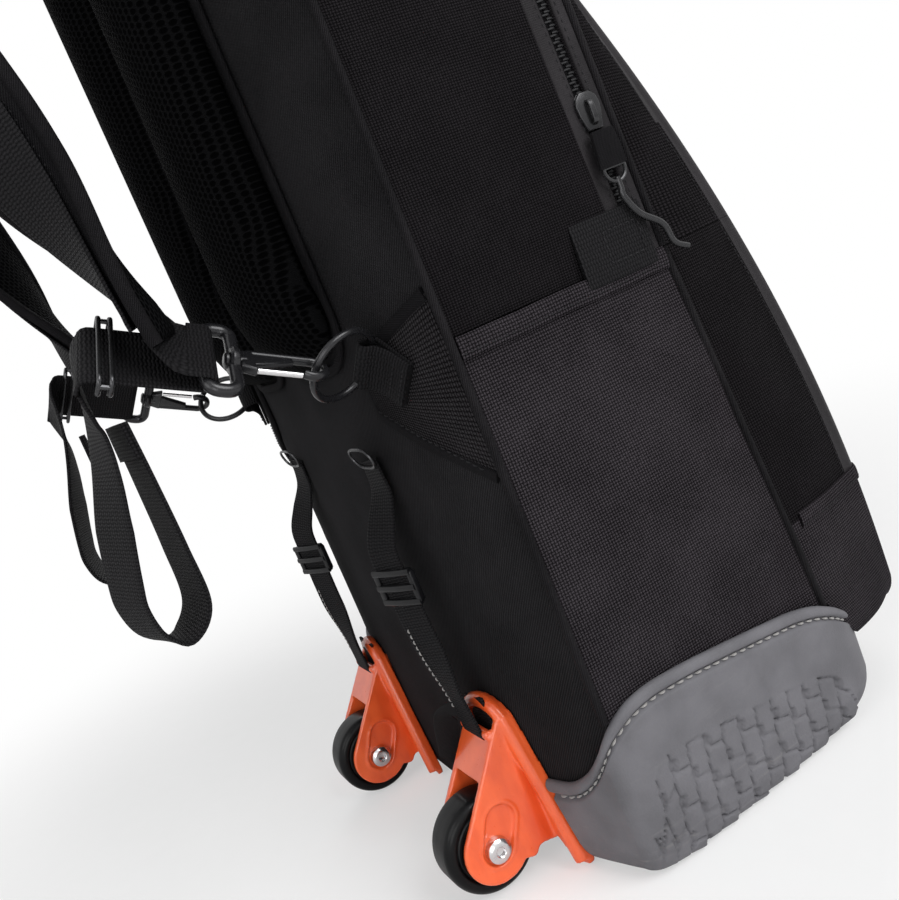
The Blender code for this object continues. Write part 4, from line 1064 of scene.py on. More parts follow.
@dataclass(frozen=True)
class Shell:
    """The panels that stay put, with their hems and piping."""

    lines: CaseLines = LINES
    panel: float = 0.003
    side_swell: float = 0.0030
    kick_swell: float = 0.0036
    hem_height: float = 0.0125
    hem_thick: float = 0.0026
    cord: float = 0.0024
    kick_foot: float = 0.050
    piping_foot: float = 0.0995
    front_foot: float = 0.079
    gather: float = 0.0024
    proud: float = 0.0010
    under_half: float = 0.150

    def build(self) -> None:
        """Make every panel of the fixed case."""
        self.back()
        self.sides()
        self.underside()
        for side in Side:
            self.kick(side)
        self.piping()

    def back(self) -> None:
        """The crowned back panel, tucked under at its foot."""
        lines = self.lines
        heights = np.concatenate([np.linspace(lines.floor + 0.003, lines.arch, 250),
                                  lines.arch + lines.corner * np.sin(np.linspace(0, math.pi / 2, 18))[1:]])
        shares = np.linspace(-1, 1, 81)
        half = lines.half_at(heights) - 0.0008
        x = half[:, None] * shares[None, :]
        z = np.broadcast_to(heights[:, None], x.shape).copy()
        top = np.clip((z - lines.height + 0.06) / 0.06, 0, 1)
        y = lines.crown(np.broadcast_to(shares, x.shape) * lines.half) * np.sqrt(1 - 0.985 * top**2)
        folds = np.array([[ripple(p, 0.075, 3) + 0.6 * ripple(p, 0.03, 9) for p in row]
                          for row in np.stack([x, y, z], -1)])
        pulled = np.sin(z * 230 + 5 * folds + 6 * shares) * ease(0.62, 0.86, np.abs(shares)) * ease(1.0, 0.93, np.abs(shares))
        y = y - (0.0007 * (1 + folds) + self.gather * pulled * ease(-0.3, 0.5, folds)) * ease(0.0, 0.03, y)
        tuck = np.stack([x[:1], y[:1] - 0.010, z[:1] - 0.002], -1)
        points = np.concatenate([tuck, np.stack([x, y, z], -1)])
        mesh = cloth_sheet(points, self.panel, inward=(0, -1, 0))
        SHOP.add("back_cloth", mesh, BACK_TWILL, Slot.TWILL, stands_for=("back_panel",))

    def sides(self) -> None:
        """The side panels and the top as one strip between the back seam and the zip."""
        lines = self.lines
        edge, out = lines.over_top(lines.seam + 0.0008)
        shares = np.linspace(1, 0, 25)
        rim = np.minimum(1, np.minimum(run_length(edge), run_length(edge)[::-1]) / 0.03)
        points = np.zeros((len(edge), len(shares), 3))
        for row, ((x, z), (dx, dz), near) in enumerate(zip(edge, out, rim)):
            depth = lines.zip(z) + 0.0035
            for column, share in enumerate(shares):
                y = -0.0006 + depth * share
                fold = ripple((x, y, z), 0.06, 5) * 0.0012 + ripple((x, y * 0.5, z), 0.022, 8) * 0.0006
                middle = 4 * share * (1 - share)
                swell = (self.side_swell * middle + fold * min(1, 1.8 * middle)) * near - 0.0014 * (1 - near)
                points[row, column] = (x + dx * swell, y, z + dz * swell)
        mesh = cloth_sheet(points, self.panel, inward=None)
        SHOP.add("side_and_top_cloth", mesh, SIDE_CLOTH, Slot.WEAVE,
                 stands_for=("side_panel_left", "side_panel_right", "top_panel"))

    def underside(self) -> None:
        """The bottom and the lower front, which the boots and the pocket cover in part."""
        lines = self.lines
        turn = arc((lines.front(0.05) + 0.042, lines.floor + 0.042), 0.042, 270, 180, 14)
        shin = [(lines.front(z), z) for z in np.linspace(0.06, lines.seam - 0.0005, 20)]
        line = even(np.array([(0.004, lines.floor), *turn, *shin]), 0.006)
        points = []
        for y, z in line:
            half = self.under_half + (lines.half - 0.0015 - self.under_half) * ease(0.070, 0.110, z)
            points.append([(x, y - 0.0002, z) for x in np.linspace(-half, half, 41)])
        points = np.array(points)
        mesh = cloth_sheet(points, self.panel, inward=(0, 0.7, 0.7))
        SHOP.add("underside_cloth", mesh, BACK_TWILL, Slot.TWILL, stands_for=("bottom_panel", "front_lower_panel"))
        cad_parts["base_board"].data.materials.clear()
        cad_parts["base_board"].data.materials.append(dressed(BOARD))

    def kick_face(self, side: Side, y: float, z: float) -> float:
        """X of a kick panel's face."""
        share = np.clip(y / self.lines.front(z), 0, 1)
        swell = self.kick_swell * (4 * share * (1 - share)) ** 0.8 + 0.0010 * ripple((0, y, z), 0.05, 2)
        rise = ease(0.088, 0.16, z) * (1 - 0.85 * ease(0.25, 0.311, z))
        return side.value * (self.lines.half - 0.0003 + swell * rise)

    def kick(self, side: Side) -> None:
        """One coarse kick panel with the folded hem along its top."""
        lines = self.lines
        heights = np.linspace(self.kick_foot, lines.seam - 0.0010, 64)
        shares = np.linspace(0, 1, 45)
        points = np.array([[(self.kick_face(side, y, z), y, z)
                            for y in -0.0004 + shares * (lines.front(z) - 0.0002)] for z in heights])
        mesh = cloth_sheet(points, self.panel, inward=(-side.value, 0, 0))
        SHOP.add(f"kick_cloth_{side}", mesh, BALLISTIC, Slot.WEAVE, stands_for=(f"side_kick_{side}",))
        middle = lines.seam - self.hem_height / 2 + 0.0006
        reach = np.linspace(-0.0012, lines.front(middle) + 0.0012, 36)
        wave = [0.00035 * ripple((0, y, 0), 0.02, 4) for y in reach]
        line = np.array([(side.value * (lines.half + 0.0010 + w), y, middle + 2 * w) for y, w in zip(reach, wave)])
        hem = swept(line, flat_section(self.hem_height, self.hem_thick, dome=0.0004), (side.value, 0, 0))
        SHOP.add(f"kick_hem_{side}", hem, BALLISTIC, Slot.WEAVE)
        low = line + np.array((side.value * (self.hem_thick / 2 + 0.0002), 0, -self.hem_height * 0.24))
        SHOP.add(f"kick_hem_stitches_{side}", stitches(low, (side.value, 0, 0)), BLACK_THREAD, Slot.WEAVE)

    def piping(self) -> None:
        """Covered cords along the back seam and along the lower front seam."""
        lines = self.lines
        edge, _ = lines.over_top(self.piping_foot, 0.010)
        cord = round_section(self.cord, 12)
        back = np.array([(x * 1.0012 + self.proud * np.sign(x), 0.0006 + self.proud, z) for x, z in edge])
        SHOP.add("back_piping", swept(back, cord), PIPING, Slot.TWILL)
        for side in Side:
            line = np.array([(side.value * (lines.half - 0.0004), lines.front(z) - 0.0006, z)
                             for z in np.linspace(self.front_foot, lines.seam - 0.0003, 40)])
            SHOP.add(f"front_piping_{side}", swept(line, cord), PIPING, Slot.TWILL)


@dataclass(frozen=True)
class Lid:
    """The zipped front lid: its face, its round edge and its piping."""

    lines: CaseLines = LINES
    panel: float = 0.003
    swell: float = 0.004
    gap: float = 0.0004
    cord: float = 0.0024

    def build(self) -> None:
        """Make the lid's cloth."""
        lines = self.lines
        foot = lines.seam + self.gap
        heights = np.concatenate([np.linspace(foot, lines.arch, 84),
                                  lines.arch + lines.corner * np.sin(np.linspace(0, math.pi / 2, 18))[1:]])
        shares = np.linspace(-1, 1, 45)
        half = lines.half_at(heights) - 0.0008
        points = np.zeros((len(heights), len(shares), 3))
        for row, (z, wide) in enumerate(zip(heights, half)):
            rim = ease(0.50, 0.56, z) * min(1.0, math.sqrt(max(lines.height - z, 0) / 0.06))
            for column, share in enumerate(shares):
                fold = 0.0010 * ripple((wide * share, 0, z), 0.08, 7)
                out = (self.swell * (1 - share**4) + fold) * rim
                points[row, column] = (wide * share, lines.front(z) - out, z)
        face = cloth_sheet(points, self.panel, inward=(0, 1, 0))
        SHOP.add("lid_cloth", face, BACK_TWILL, Slot.TWILL, "lid", ("lid_panel",))
        edge, out = lines.over_top(foot)
        strip = np.array([[(x + dx * 0.0002, y, z + dz * 0.0002)
                           for y in np.linspace(lines.front(z) + 0.0008, lines.zip(z) - 0.0030, 6)]
                          for (x, z), (dx, dz) in zip(edge, out)])
        gusset = cloth_sheet(strip, self.panel)
        SHOP.add("lid_edge_cloth", gusset, SIDE_CLOTH, Slot.WEAVE, "lid", ("lid_gusset",))
        seam = np.array([(x * 0.9985, lines.front(z) - 0.0006, z) for x, z in edge])
        SHOP.add("lid_piping", swept(seam, round_section(self.cord, 12)), PIPING, Slot.TWILL, "lid")


@dataclass(frozen=True)
class Zip:
    """The long zip between the lid and the sides: two flaps, two rows of teeth, and the end tabs."""

    lines: CaseLines = LINES
    foot: float = 0.3465
    tooth_pitch: float = 0.0018
    tooth_reach: float = 0.0034
    flap: float = 0.0095
    flap_thick: float = 0.0022
    tab_foot: float = 0.3085
    tab_width: float = 0.048
    tab_height: float = 0.0355
    tab_thick: float = 0.0026

    def build(self) -> None:
        """Make both halves and the tabs."""
        for half, body, slot in ((1, "case", Slot.WEAVE), (-1, "lid", Slot.WEAVE)):
            self.half_zip(half, body, slot)
        for side in Side:
            self.tab(side)

    def half_zip(self, half: int, body: str, slot: Slot) -> None:
        """One half of the zip.

        Args:
            half: 1 for the half on the case, -1 for the half on the lid.
            body: The body that carries it.
            slot: The record's slot of the flap.
        """
        lines = self.lines
        edge, out = lines.over_top(lines.seam + 0.0010 if half > 0 else lines.seam + 0.0006)
        width = self.flap if half > 0 else self.flap * 0.8
        middle = lines.zip(edge[:, 1]) + half * (0.0040 + width / 2)
        ups = np.stack([out[:, 0], np.zeros(len(out)), out[:, 1]], 1)
        place = np.stack([edge[:, 0], middle, edge[:, 1]], 1) + ups * 0.0004
        flap = swept(place, flat_section(width, self.flap_thick, dome=0.0003), ups)
        SHOP.add(f"zip_flap_{body}", flap, SKIN, slot, body)
        seam = np.stack([edge[:, 0], lines.zip(edge[:, 1]) + half * 0.0062, edge[:, 1]], 1)
        SHOP.add(f"zip_flap_stitches_{body}",
                 stitches(seam + ups * (0.0004 + self.flap_thick / 2), ups, 0.0046), BLACK_THREAD, slot, body)
        start = even(edge, self.tooth_pitch)
        turn = np.stack([np.interp(run_length(start), run_length(edge), axis) for axis in ups.T], 1)
        tape = np.stack([start[:, 0], lines.zip(start[:, 1]) + half * 0.0022, start[:, 1]], 1) - turn * 0.0016
        SHOP.add(f"zip_tape_{body}", swept(tape[::6], flat_section(0.0044, 0.0010), turn[::6]), BINDING, slot, body)
        section = round_section(0.00068, 6)
        teeth = []
        for number, ((x, z), up) in enumerate(zip(start, turn)):
            if number % 2 == (half > 0) and z > self.foot:
                ends = lines.zip(z) + half * np.array([self.tooth_reach, 0.0006, -0.0010])
                line = np.array([(x, y, z) for y in ends]) - np.outer((0.9, 0.1, 0.3), up) * 0.0012
                teeth.append(swept(line, section, up, scale=np.array([1.0, 1.15, 0.9])))
        SHOP.add(f"zip_teeth_{body}", joined(teeth), COIL, Slot.MOULDED, body)

    def tab(self, side: Side) -> None:
        """The folded webbing tab that closes the zip's end, tucked under the hem."""
        lines = self.lines
        front = lines.zip(self.tab_foot) - 0.006
        x = lines.half + 0.0003 + self.tab_thick / 2
        reach = np.linspace(front, front + self.tab_width, 24)
        swell = 0.0009 * np.sin(np.linspace(0, math.pi, 24)) ** 0.5
        line = np.array([(side.value * (x + s), y, self.tab_foot + self.tab_height / 2) for y, s in zip(reach, swell)])
        web = swept(line, flat_section(self.tab_height, self.tab_thick, dome=0.0003), (side.value, 0, 0))
        SHOP.add(f"zip_end_tab_{side}", web, STRAP_WEB, Slot.WEBBING, stands_for=(f"zip_tab_{side}",))
        out = side.value * (self.tab_thick / 2 + 0.0003)
        box = np.array([(out, 0.006, -0.0085), (out, 0.006, 0.0085), (out, 0.030, 0.0085), (out, 0.030, -0.0085),
                        (out, 0.006, -0.0085)]) + line[0]
        box[:, 0] += side.value * 0.0007
        SHOP.add(f"zip_tab_stitches_{side}", stitches(even(box, 0.002), (side.value, 0, 0)), BLACK_THREAD,
                 Slot.WEBBING)


@dataclass(frozen=True)
class Pocket:
    """The front pocket: coarse side gussets, a coated face and a coarse kick band."""

    lines: CaseLines = LINES
    half: float = 0.166
    flare: float = 0.0125
    foot: float = 0.0455
    top: float = 0.500
    fold_gap: float = 0.0001
    kick_top: float = 0.133
    edge_band: float = 0.015
    corner: float = 0.010
    swell: float = 0.003

    def build(self) -> None:
        """Make the half below the lid's fold and the half on the lid."""
        fold = self.lines.seam
        low = np.concatenate([np.linspace(self.foot, self.foot + 0.012, 6),
                              np.linspace(self.foot + 0.018, fold - self.fold_gap, 44)])
        high = np.concatenate([np.linspace(fold + self.fold_gap, self.top - 0.010, 34),
                               np.linspace(self.top - 0.007, self.top, 4)])
        self.bag("pocket_cloth", low, "case", "front_pocket")
        self.bag("lid_pocket_cloth", high, "lid", "lid_pocket")
        self.trims()

    def back_line(self, z: float) -> float:
        """Y where the pocket meets the case, pushed forward by the boots at its foot."""
        return min(self.lines.front(z), -0.185 + max(z - self.foot, 0) * 0.52) - 0.0008

    def section(self, z: float) -> np.ndarray:
        """The pocket's outline at one height, from its left seam round to its right seam."""
        front = self.lines.pocket(z)
        back = max(self.back_line(z), front + 0.003)
        lift = 0.006 * (1 - math.sqrt(max(0.0, 1 - (1 - min((z - self.foot) / 0.014, 1)) ** 2)))
        head = 0.004 * max(0.0, 1 - (self.top - z) / 0.012) ** 2
        front, back = front + lift + head, max(back - lift, front + lift + head + 0.002)
        corner = min(self.corner, 0.4 * (back - front))
        shares = np.linspace(0, 1, 14)
        length = back - front - corner
        side = [(self.half - lift + self.flare * (1 - t) + self.swell * math.sin(math.pi * t)
                 + 0.0010 * ripple((0, t * 0.07, z), 0.035, 6) * math.sin(math.pi * t), back - length * t)
                for t in shares]
        turn = arc((self.half - lift - corner, front + corner), corner, 0, -90, 6)[1:]
        face = [(self.half - lift - corner) * s for s in np.linspace(1, 0, 13)[1:]]
        bulge = [(x, front - self.swell * (1 - (x / self.half) ** 2) + 0.0012 * ripple((x, 0, z), 0.07, 8)
                  * (1 - (x / self.half) ** 2)) for x in face]
        right = np.array([*side, *turn, *bulge])
        left = right[:-1] * (-1, 1)
        return np.vstack([left, right[::-1]])

    def bag(self, name: str, heights: np.ndarray, body: str, node: str) -> None:
        """One half of the pocket, closed on every side.

        Args:
            name: The piece.
            heights: Heights of its rows.
            body: The body that carries it.
            node: The CAD node that it stands for.
        """
        rows = np.array([[(x, y, z) for x, y in self.section(z)] for z in heights])
        cut = cut_map(rows)
        count, columns = rows.shape[:2]
        points, cuts = rows.reshape(-1, 3), cut.reshape(-1, 2)
        faces = net(count, columns)
        faces += [(r * columns, r * columns + columns - 1, (r + 1) * columns + columns - 1, (r + 1) * columns)
                  for r in range(count - 1)]
        for start in (0, (count - 1) * columns):
            faces += [(start + c, start + c + 1, start + columns - 2 - c, start + columns - 1 - c)
                      for c in range(columns // 2 - 1)]
        mesh = new_mesh(points, faces, cuts)
        # Material 2, the gusset cloth, is the darker copy of the ballistic cloth: painted shade on the side gussets.
        for patch in mesh.polygons:
            x, y, z = patch.center
            coated = y < self.lines.pocket(z) + self.edge_band
            patch.material_index = 0 if z < self.kick_top else 1 if coated else 2
        SHOP.add(name, mesh, (BALLISTIC, SKIN, GUSSET_CLOTH_SHADED), Slot.COATED, body, (node,), 50.0)

    def trims(self) -> None:
        """The kick band's hem and the stitched fold along each gusset."""
        level = self.section(self.kick_top)
        line = even(np.array([(x, y, self.kick_top) for x, y in level[2:-2]]), 0.005)
        out = unit(np.stack([np.gradient(line[:, 1]), -np.gradient(line[:, 0]), np.zeros(len(line))], 1))
        out *= np.where((out @ np.array((0, 1, 0)))[:, None] > 0.9, -1, 1)
        away = line - np.array((0, -0.19, self.kick_top))
        out *= np.sign((out * away).sum(1))[:, None]
        hem = swept(line + out * 0.0004, flat_section(0.010, 0.0022, dome=0.0003), out)
        SHOP.add("pocket_kick_hem", hem, BALLISTIC, Slot.WEAVE)
        SHOP.add("pocket_kick_stitches",
                 stitches(line + out * 0.0016 - np.array((0, 0, 0.0030)), out), BLACK_THREAD, Slot.WEAVE)
        for body, low, high in (("case", self.kick_top + 0.006, self.lines.seam - 0.001),
                                ("lid", self.lines.seam + 0.001, 0.470)):
            for side in Side:
                seam = []
                for z in np.linspace(low, high, 40):
                    outline = self.section(z)[:20]
                    place = self.lines.pocket(z) + self.edge_band + 0.0025
                    x = np.interp(-place, -outline[:14, 1], -outline[:14, 0])
                    seam.append((side.value * (x + 0.0001), place, z))
                name = f"pocket_fold_stitches_{body}_{side}"
                SHOP.add(name, stitches(np.array(seam), (side.value, 0, 0), 0.0040, 0.0026, 0.00036),
                         BLACK_THREAD, Slot.WEAVE, body)


# ------------------------------------------------------------------ boots, brackets and wheels


@dataclass(frozen=True)
class Boot:
    """A moulded rubber boot: lipped rim with a sewn groove, smooth wall and lugged tread."""

    lines: CaseLines = LINES
    outer: float = 0.185
    inner: float = 0.1265
    nose: float = -0.2020
    wall: float = 0.005
    heel_round: float = 0.014
    nose_round: float = 0.046
    foot_round: float = 0.017
    gap: float = 0.0013
    back_rim: tuple = ((0.1265, 0.0570), (0.140, 0.0572), (0.1475, 0.0585), (0.156, 0.0635), (0.164, 0.0705),
                       (0.172, 0.0800), (0.178, 0.0900), (0.184, 0.0985))
    side_rim: tuple = ((0.0, 0.0985), (-0.012, 0.1035), (-0.030, 0.1055), (-0.057, 0.1030), (-0.084, 0.0990),
                       (-0.109, 0.0950), (-0.136, 0.0905), (-0.154, 0.0850), (-0.170, 0.0760), (-0.184, 0.0640),
                       (-0.196, 0.0520), (-0.2015, 0.0470))
    front_rim: tuple = ((0.1265, 0.0430), (0.150, 0.0460), (0.185, 0.0500))
    lip: tuple = ((-0.0052, -0.0020), (-0.0046, -0.0004), (-0.0032, 0.0004), (-0.0016, 0.0004), (-0.0002, -0.0004),
                  (0.0007, -0.0018), (0.0010, -0.0034), (0.0008, -0.0050), (0.0000, -0.0062), (-0.0018, -0.0070),
                  (-0.0026, -0.0082), (-0.0018, -0.0094), (0.0000, -0.0102), (0.0004, -0.0114), (0.0003, -0.0135))
    groove: float = 0.0082
    tread: tuple = ((0.010, 0.002), (-0.004, 0.036), (-0.012, 0.057), (-0.023, 0.0660), (-0.043, 0.0633),
                    (-0.067, 0.0604), (-0.091, 0.0560), (-0.118, 0.0510), (-0.136, 0.0465), (-0.148, 0.0410),
                    (-0.157, 0.0320), (-0.1605, 0.0200), (-0.162, 0.002))
    lug_column: float = 0.0125
    lug_row: float = 0.0215
    lug_rise: float = 0.0034
    recess: float = 0.0024
    toe_start: float = -0.090
    toe_reach: float = 0.105
    toe_lift: float = 0.010

    def build(self) -> None:
        """Make both boots and their stitches."""
        for side in Side:
            self.cup(side)

    def plan(self) -> np.ndarray:
        """The boot's outline from above: round the back, the side and the nose, on the right side."""
        back = [(x, self.lines.crown(x) + self.wall) for x in np.linspace(self.inner, 0.171, 14)]
        heel = [(0.1768, 0.0068), (0.1815, 0.0020), (self.outer - 0.0008, -0.0055)]
        side = [(self.outer, y) for y in np.linspace(-0.012, self.nose + self.nose_round, 12)]
        toe = arc((self.outer - self.nose_round, self.nose + self.nose_round), self.nose_round, 0, -90, 12)[1:]
        front = [(x, self.nose) for x in np.linspace(self.outer - self.nose_round - 0.004, self.inner, 5)]
        route = np.array([*back, *heel, *side, *toe, *front])
        return even(smooth(np.column_stack([route, np.zeros(len(route))]), 4)[:, :2], 0.00125)

    def rim_heights(self, plan: np.ndarray) -> np.ndarray:
        """Height of the rim at each point of the plan."""
        x, y = plan.T
        back = np.interp(x, *zip(*self.back_rim))
        flank = np.interp(-y, *zip(*((-depth, rise) for depth, rise in self.side_rim)))
        front = np.interp(x, *zip(*self.front_rim))
        on_back = ease(-0.010, 0.004, y)
        on_front = ease(0.004, 0.0, y - self.nose)
        rim = back * on_back + (flank * (1 - on_front) + front * on_front) * (1 - on_back)
        kernel = np.hanning(23)
        padded = np.pad(rim, 11, mode="edge")
        return np.convolve(padded, kernel / kernel.sum(), mode="valid")

    def profile(self, rim: float) -> tuple[np.ndarray, np.ndarray]:
        """The wall's section under a rim.

        Args:
            rim: Height of the rim.

        Returns:
            Pairs of (outward, height), and the share of the way inward on the sole for each.
        """
        radius = min(self.foot_round, (rim - 0.016) * 0.62)
        lip = [(out, rim + up) for out, up in self.lip]
        wall = [(0.0003, z) for z in np.linspace(lip[-1][1], radius, 50)[1:]]
        foot = [(x, z) for x, z in arc((-radius, radius), radius, 0, -90, 30)[1:]]
        sole = [(-radius, 0.0)] * 22
        shares = [0.0] * (len(lip) + len(wall) + len(foot)) + list(np.linspace(0, 1, 23)[1:])
        return np.array([*lip, *wall, *foot, *sole]), np.array(shares)

    def lugs(self, along: np.ndarray, depth: np.ndarray) -> np.ndarray:
        """Height of the tread's lugs, from 0 to 1.

        Args:
            along: Distance along the boot.
            depth: Distance down and under from the tread's upper edge.

        Returns:
            The height of each point.
        """
        lean = along + depth * 0.12
        column = np.floor(lean / self.lug_column)
        across = lean / self.lug_column - column
        odd = column % 2
        row = depth / self.lug_row + odd * 0.45 + 0.12 * np.sin(column * 2.3)
        down = row - np.floor(row)
        edge = ease(0.0, 0.12, across) * ease(1.0, 0.95, across)
        ends = ease(0.0, 0.09, down) * ease(1.0, 0.93, down)
        slope = 0.55 + 0.45 * across
        notch = (across < 0.30) * (down > 0.66) * 1.0
        return edge * (0.30 + 0.70 * ends) * slope * (0.70 + 0.30 * odd) - 0.60 * notch * edge

    def cup(self, side: Side) -> None:
        """One boot, its sewn groove and the stitches in it."""
        plan = self.plan()
        rims = self.rim_heights(plan)
        along = unit(np.gradient(plan, axis=0))
        out = np.stack([-along[:, 1], along[:, 0]], 1)
        out *= np.sign((out * (plan - (0.12, -0.09))).sum(1))[:, None]
        travel = run_length(plan)
        tread_y, tread_z = zip(*((-depth, rise) for depth, rise in self.tread))
        rows, seams, faces_out = [], [], []
        for place, rim, way, run in zip(plan, rims, out, travel):
            line, share = self.profile(rim)
            spine = np.array((max(self.inner + 0.001, place[0] - 0.055), np.clip(place[1], -0.150, -0.030)))
            inward = unit(spine - place)
            push = np.where(line[:, :1] < -0.0055, -line[:, :1] * inward, line[:, :1] * way)
            flat = place + push
            flat = flat + (spine - flat) * share[:, None]
            drop = np.concatenate([[0], np.cumsum(np.hypot(*np.diff(line, axis=0).T))])
            drop = drop + share * np.linalg.norm(spine - place)
            upper = np.interp(-place[1], tread_y, tread_z)
            start = np.interp(-upper, -line[5:90, 1], drop[5:90])
            depth = drop - start
            edge = ease(0.0, 0.0016, depth)
            ends = ease(0.012, 0.006, place[1]) * ease(-0.1632, -0.1600, place[1])
            heel = ease(-0.030, 0.0, place[1]) * ease(0.022, 0.006, line[:, 1])
            zone = edge * ends * (1 - heel)
            raised = self.lugs(np.full(len(depth), run), depth)
            lift = zone * (self.lug_rise * raised - self.recess * ease(0.002, 0.014, line[:, 1]))
            normal = np.column_stack([np.broadcast_to(way, flat.shape), np.zeros(len(flat))])
            turn = np.clip(-line[:, 0] / max(self.foot_round, 1e-6), 0, 1) * (line[:, 0] < -0.0055)
            normal = normal * np.sqrt(1 - turn**2)[:, None] - np.outer(turn, (0, 0, 1))
            points = np.column_stack([flat, line[:, 1]]) + normal * lift[:, None]
            toe = np.clip((self.toe_start - points[:, 1]) / self.toe_reach, 0, 1)
            points[:, 2] += self.toe_lift * toe**2 * np.clip(1 - points[:, 2] / rim, 0, 1)
            points[:, 2] = np.maximum(points[:, 2], 0.0)
            if place[1] > 0.003:
                bracket = 0.0935 + 0.0185 + 0.0245 * (0.110 - points[:, 2]) / 0.108 + self.gap
                pull = np.clip((0.160 - place[0]) / (0.160 - self.inner), 0, 1)
                shift = np.maximum(bracket - self.inner, -0.004) * pull * (share < 0.01)
                points[:, 0] += shift
                points[:, 1] += self.lines.crown(points[:, 0]) - self.lines.crown(points[:, 0] - shift)
            rows.append(points)
            seams.append(points[10])
            faces_out.append((*way, 0))
        mirror = np.array((side.value, 1, 1))
        grid = np.array(rows) * mirror
        mesh = new_mesh(grid.reshape(-1, 3), net(*grid.shape[:2]), cut_map(grid).reshape(-1, 2))
        SHOP.add(f"boot_cup_{side}", mesh, BOOT_RUBBER, Slot.RUBBER, stands_for=(f"boot_{side}",), round_below=60.0)
        seam = np.array(seams[4:-12]) * mirror
        outward = np.array(faces_out[4:-12]) * mirror
        thread = stitches(seam + outward * 0.0010, outward, 0.0066, 0.0050, 0.00078)
        SHOP.add(f"boot_stitches_{side}", thread, PALE_THREAD, Slot.RUBBER)


ON_SIDE = Matrix(((0, 0, 1, 0), (1, 0, 0, 0), (0, 1, 0, 0), (0, 0, 0, 1)))


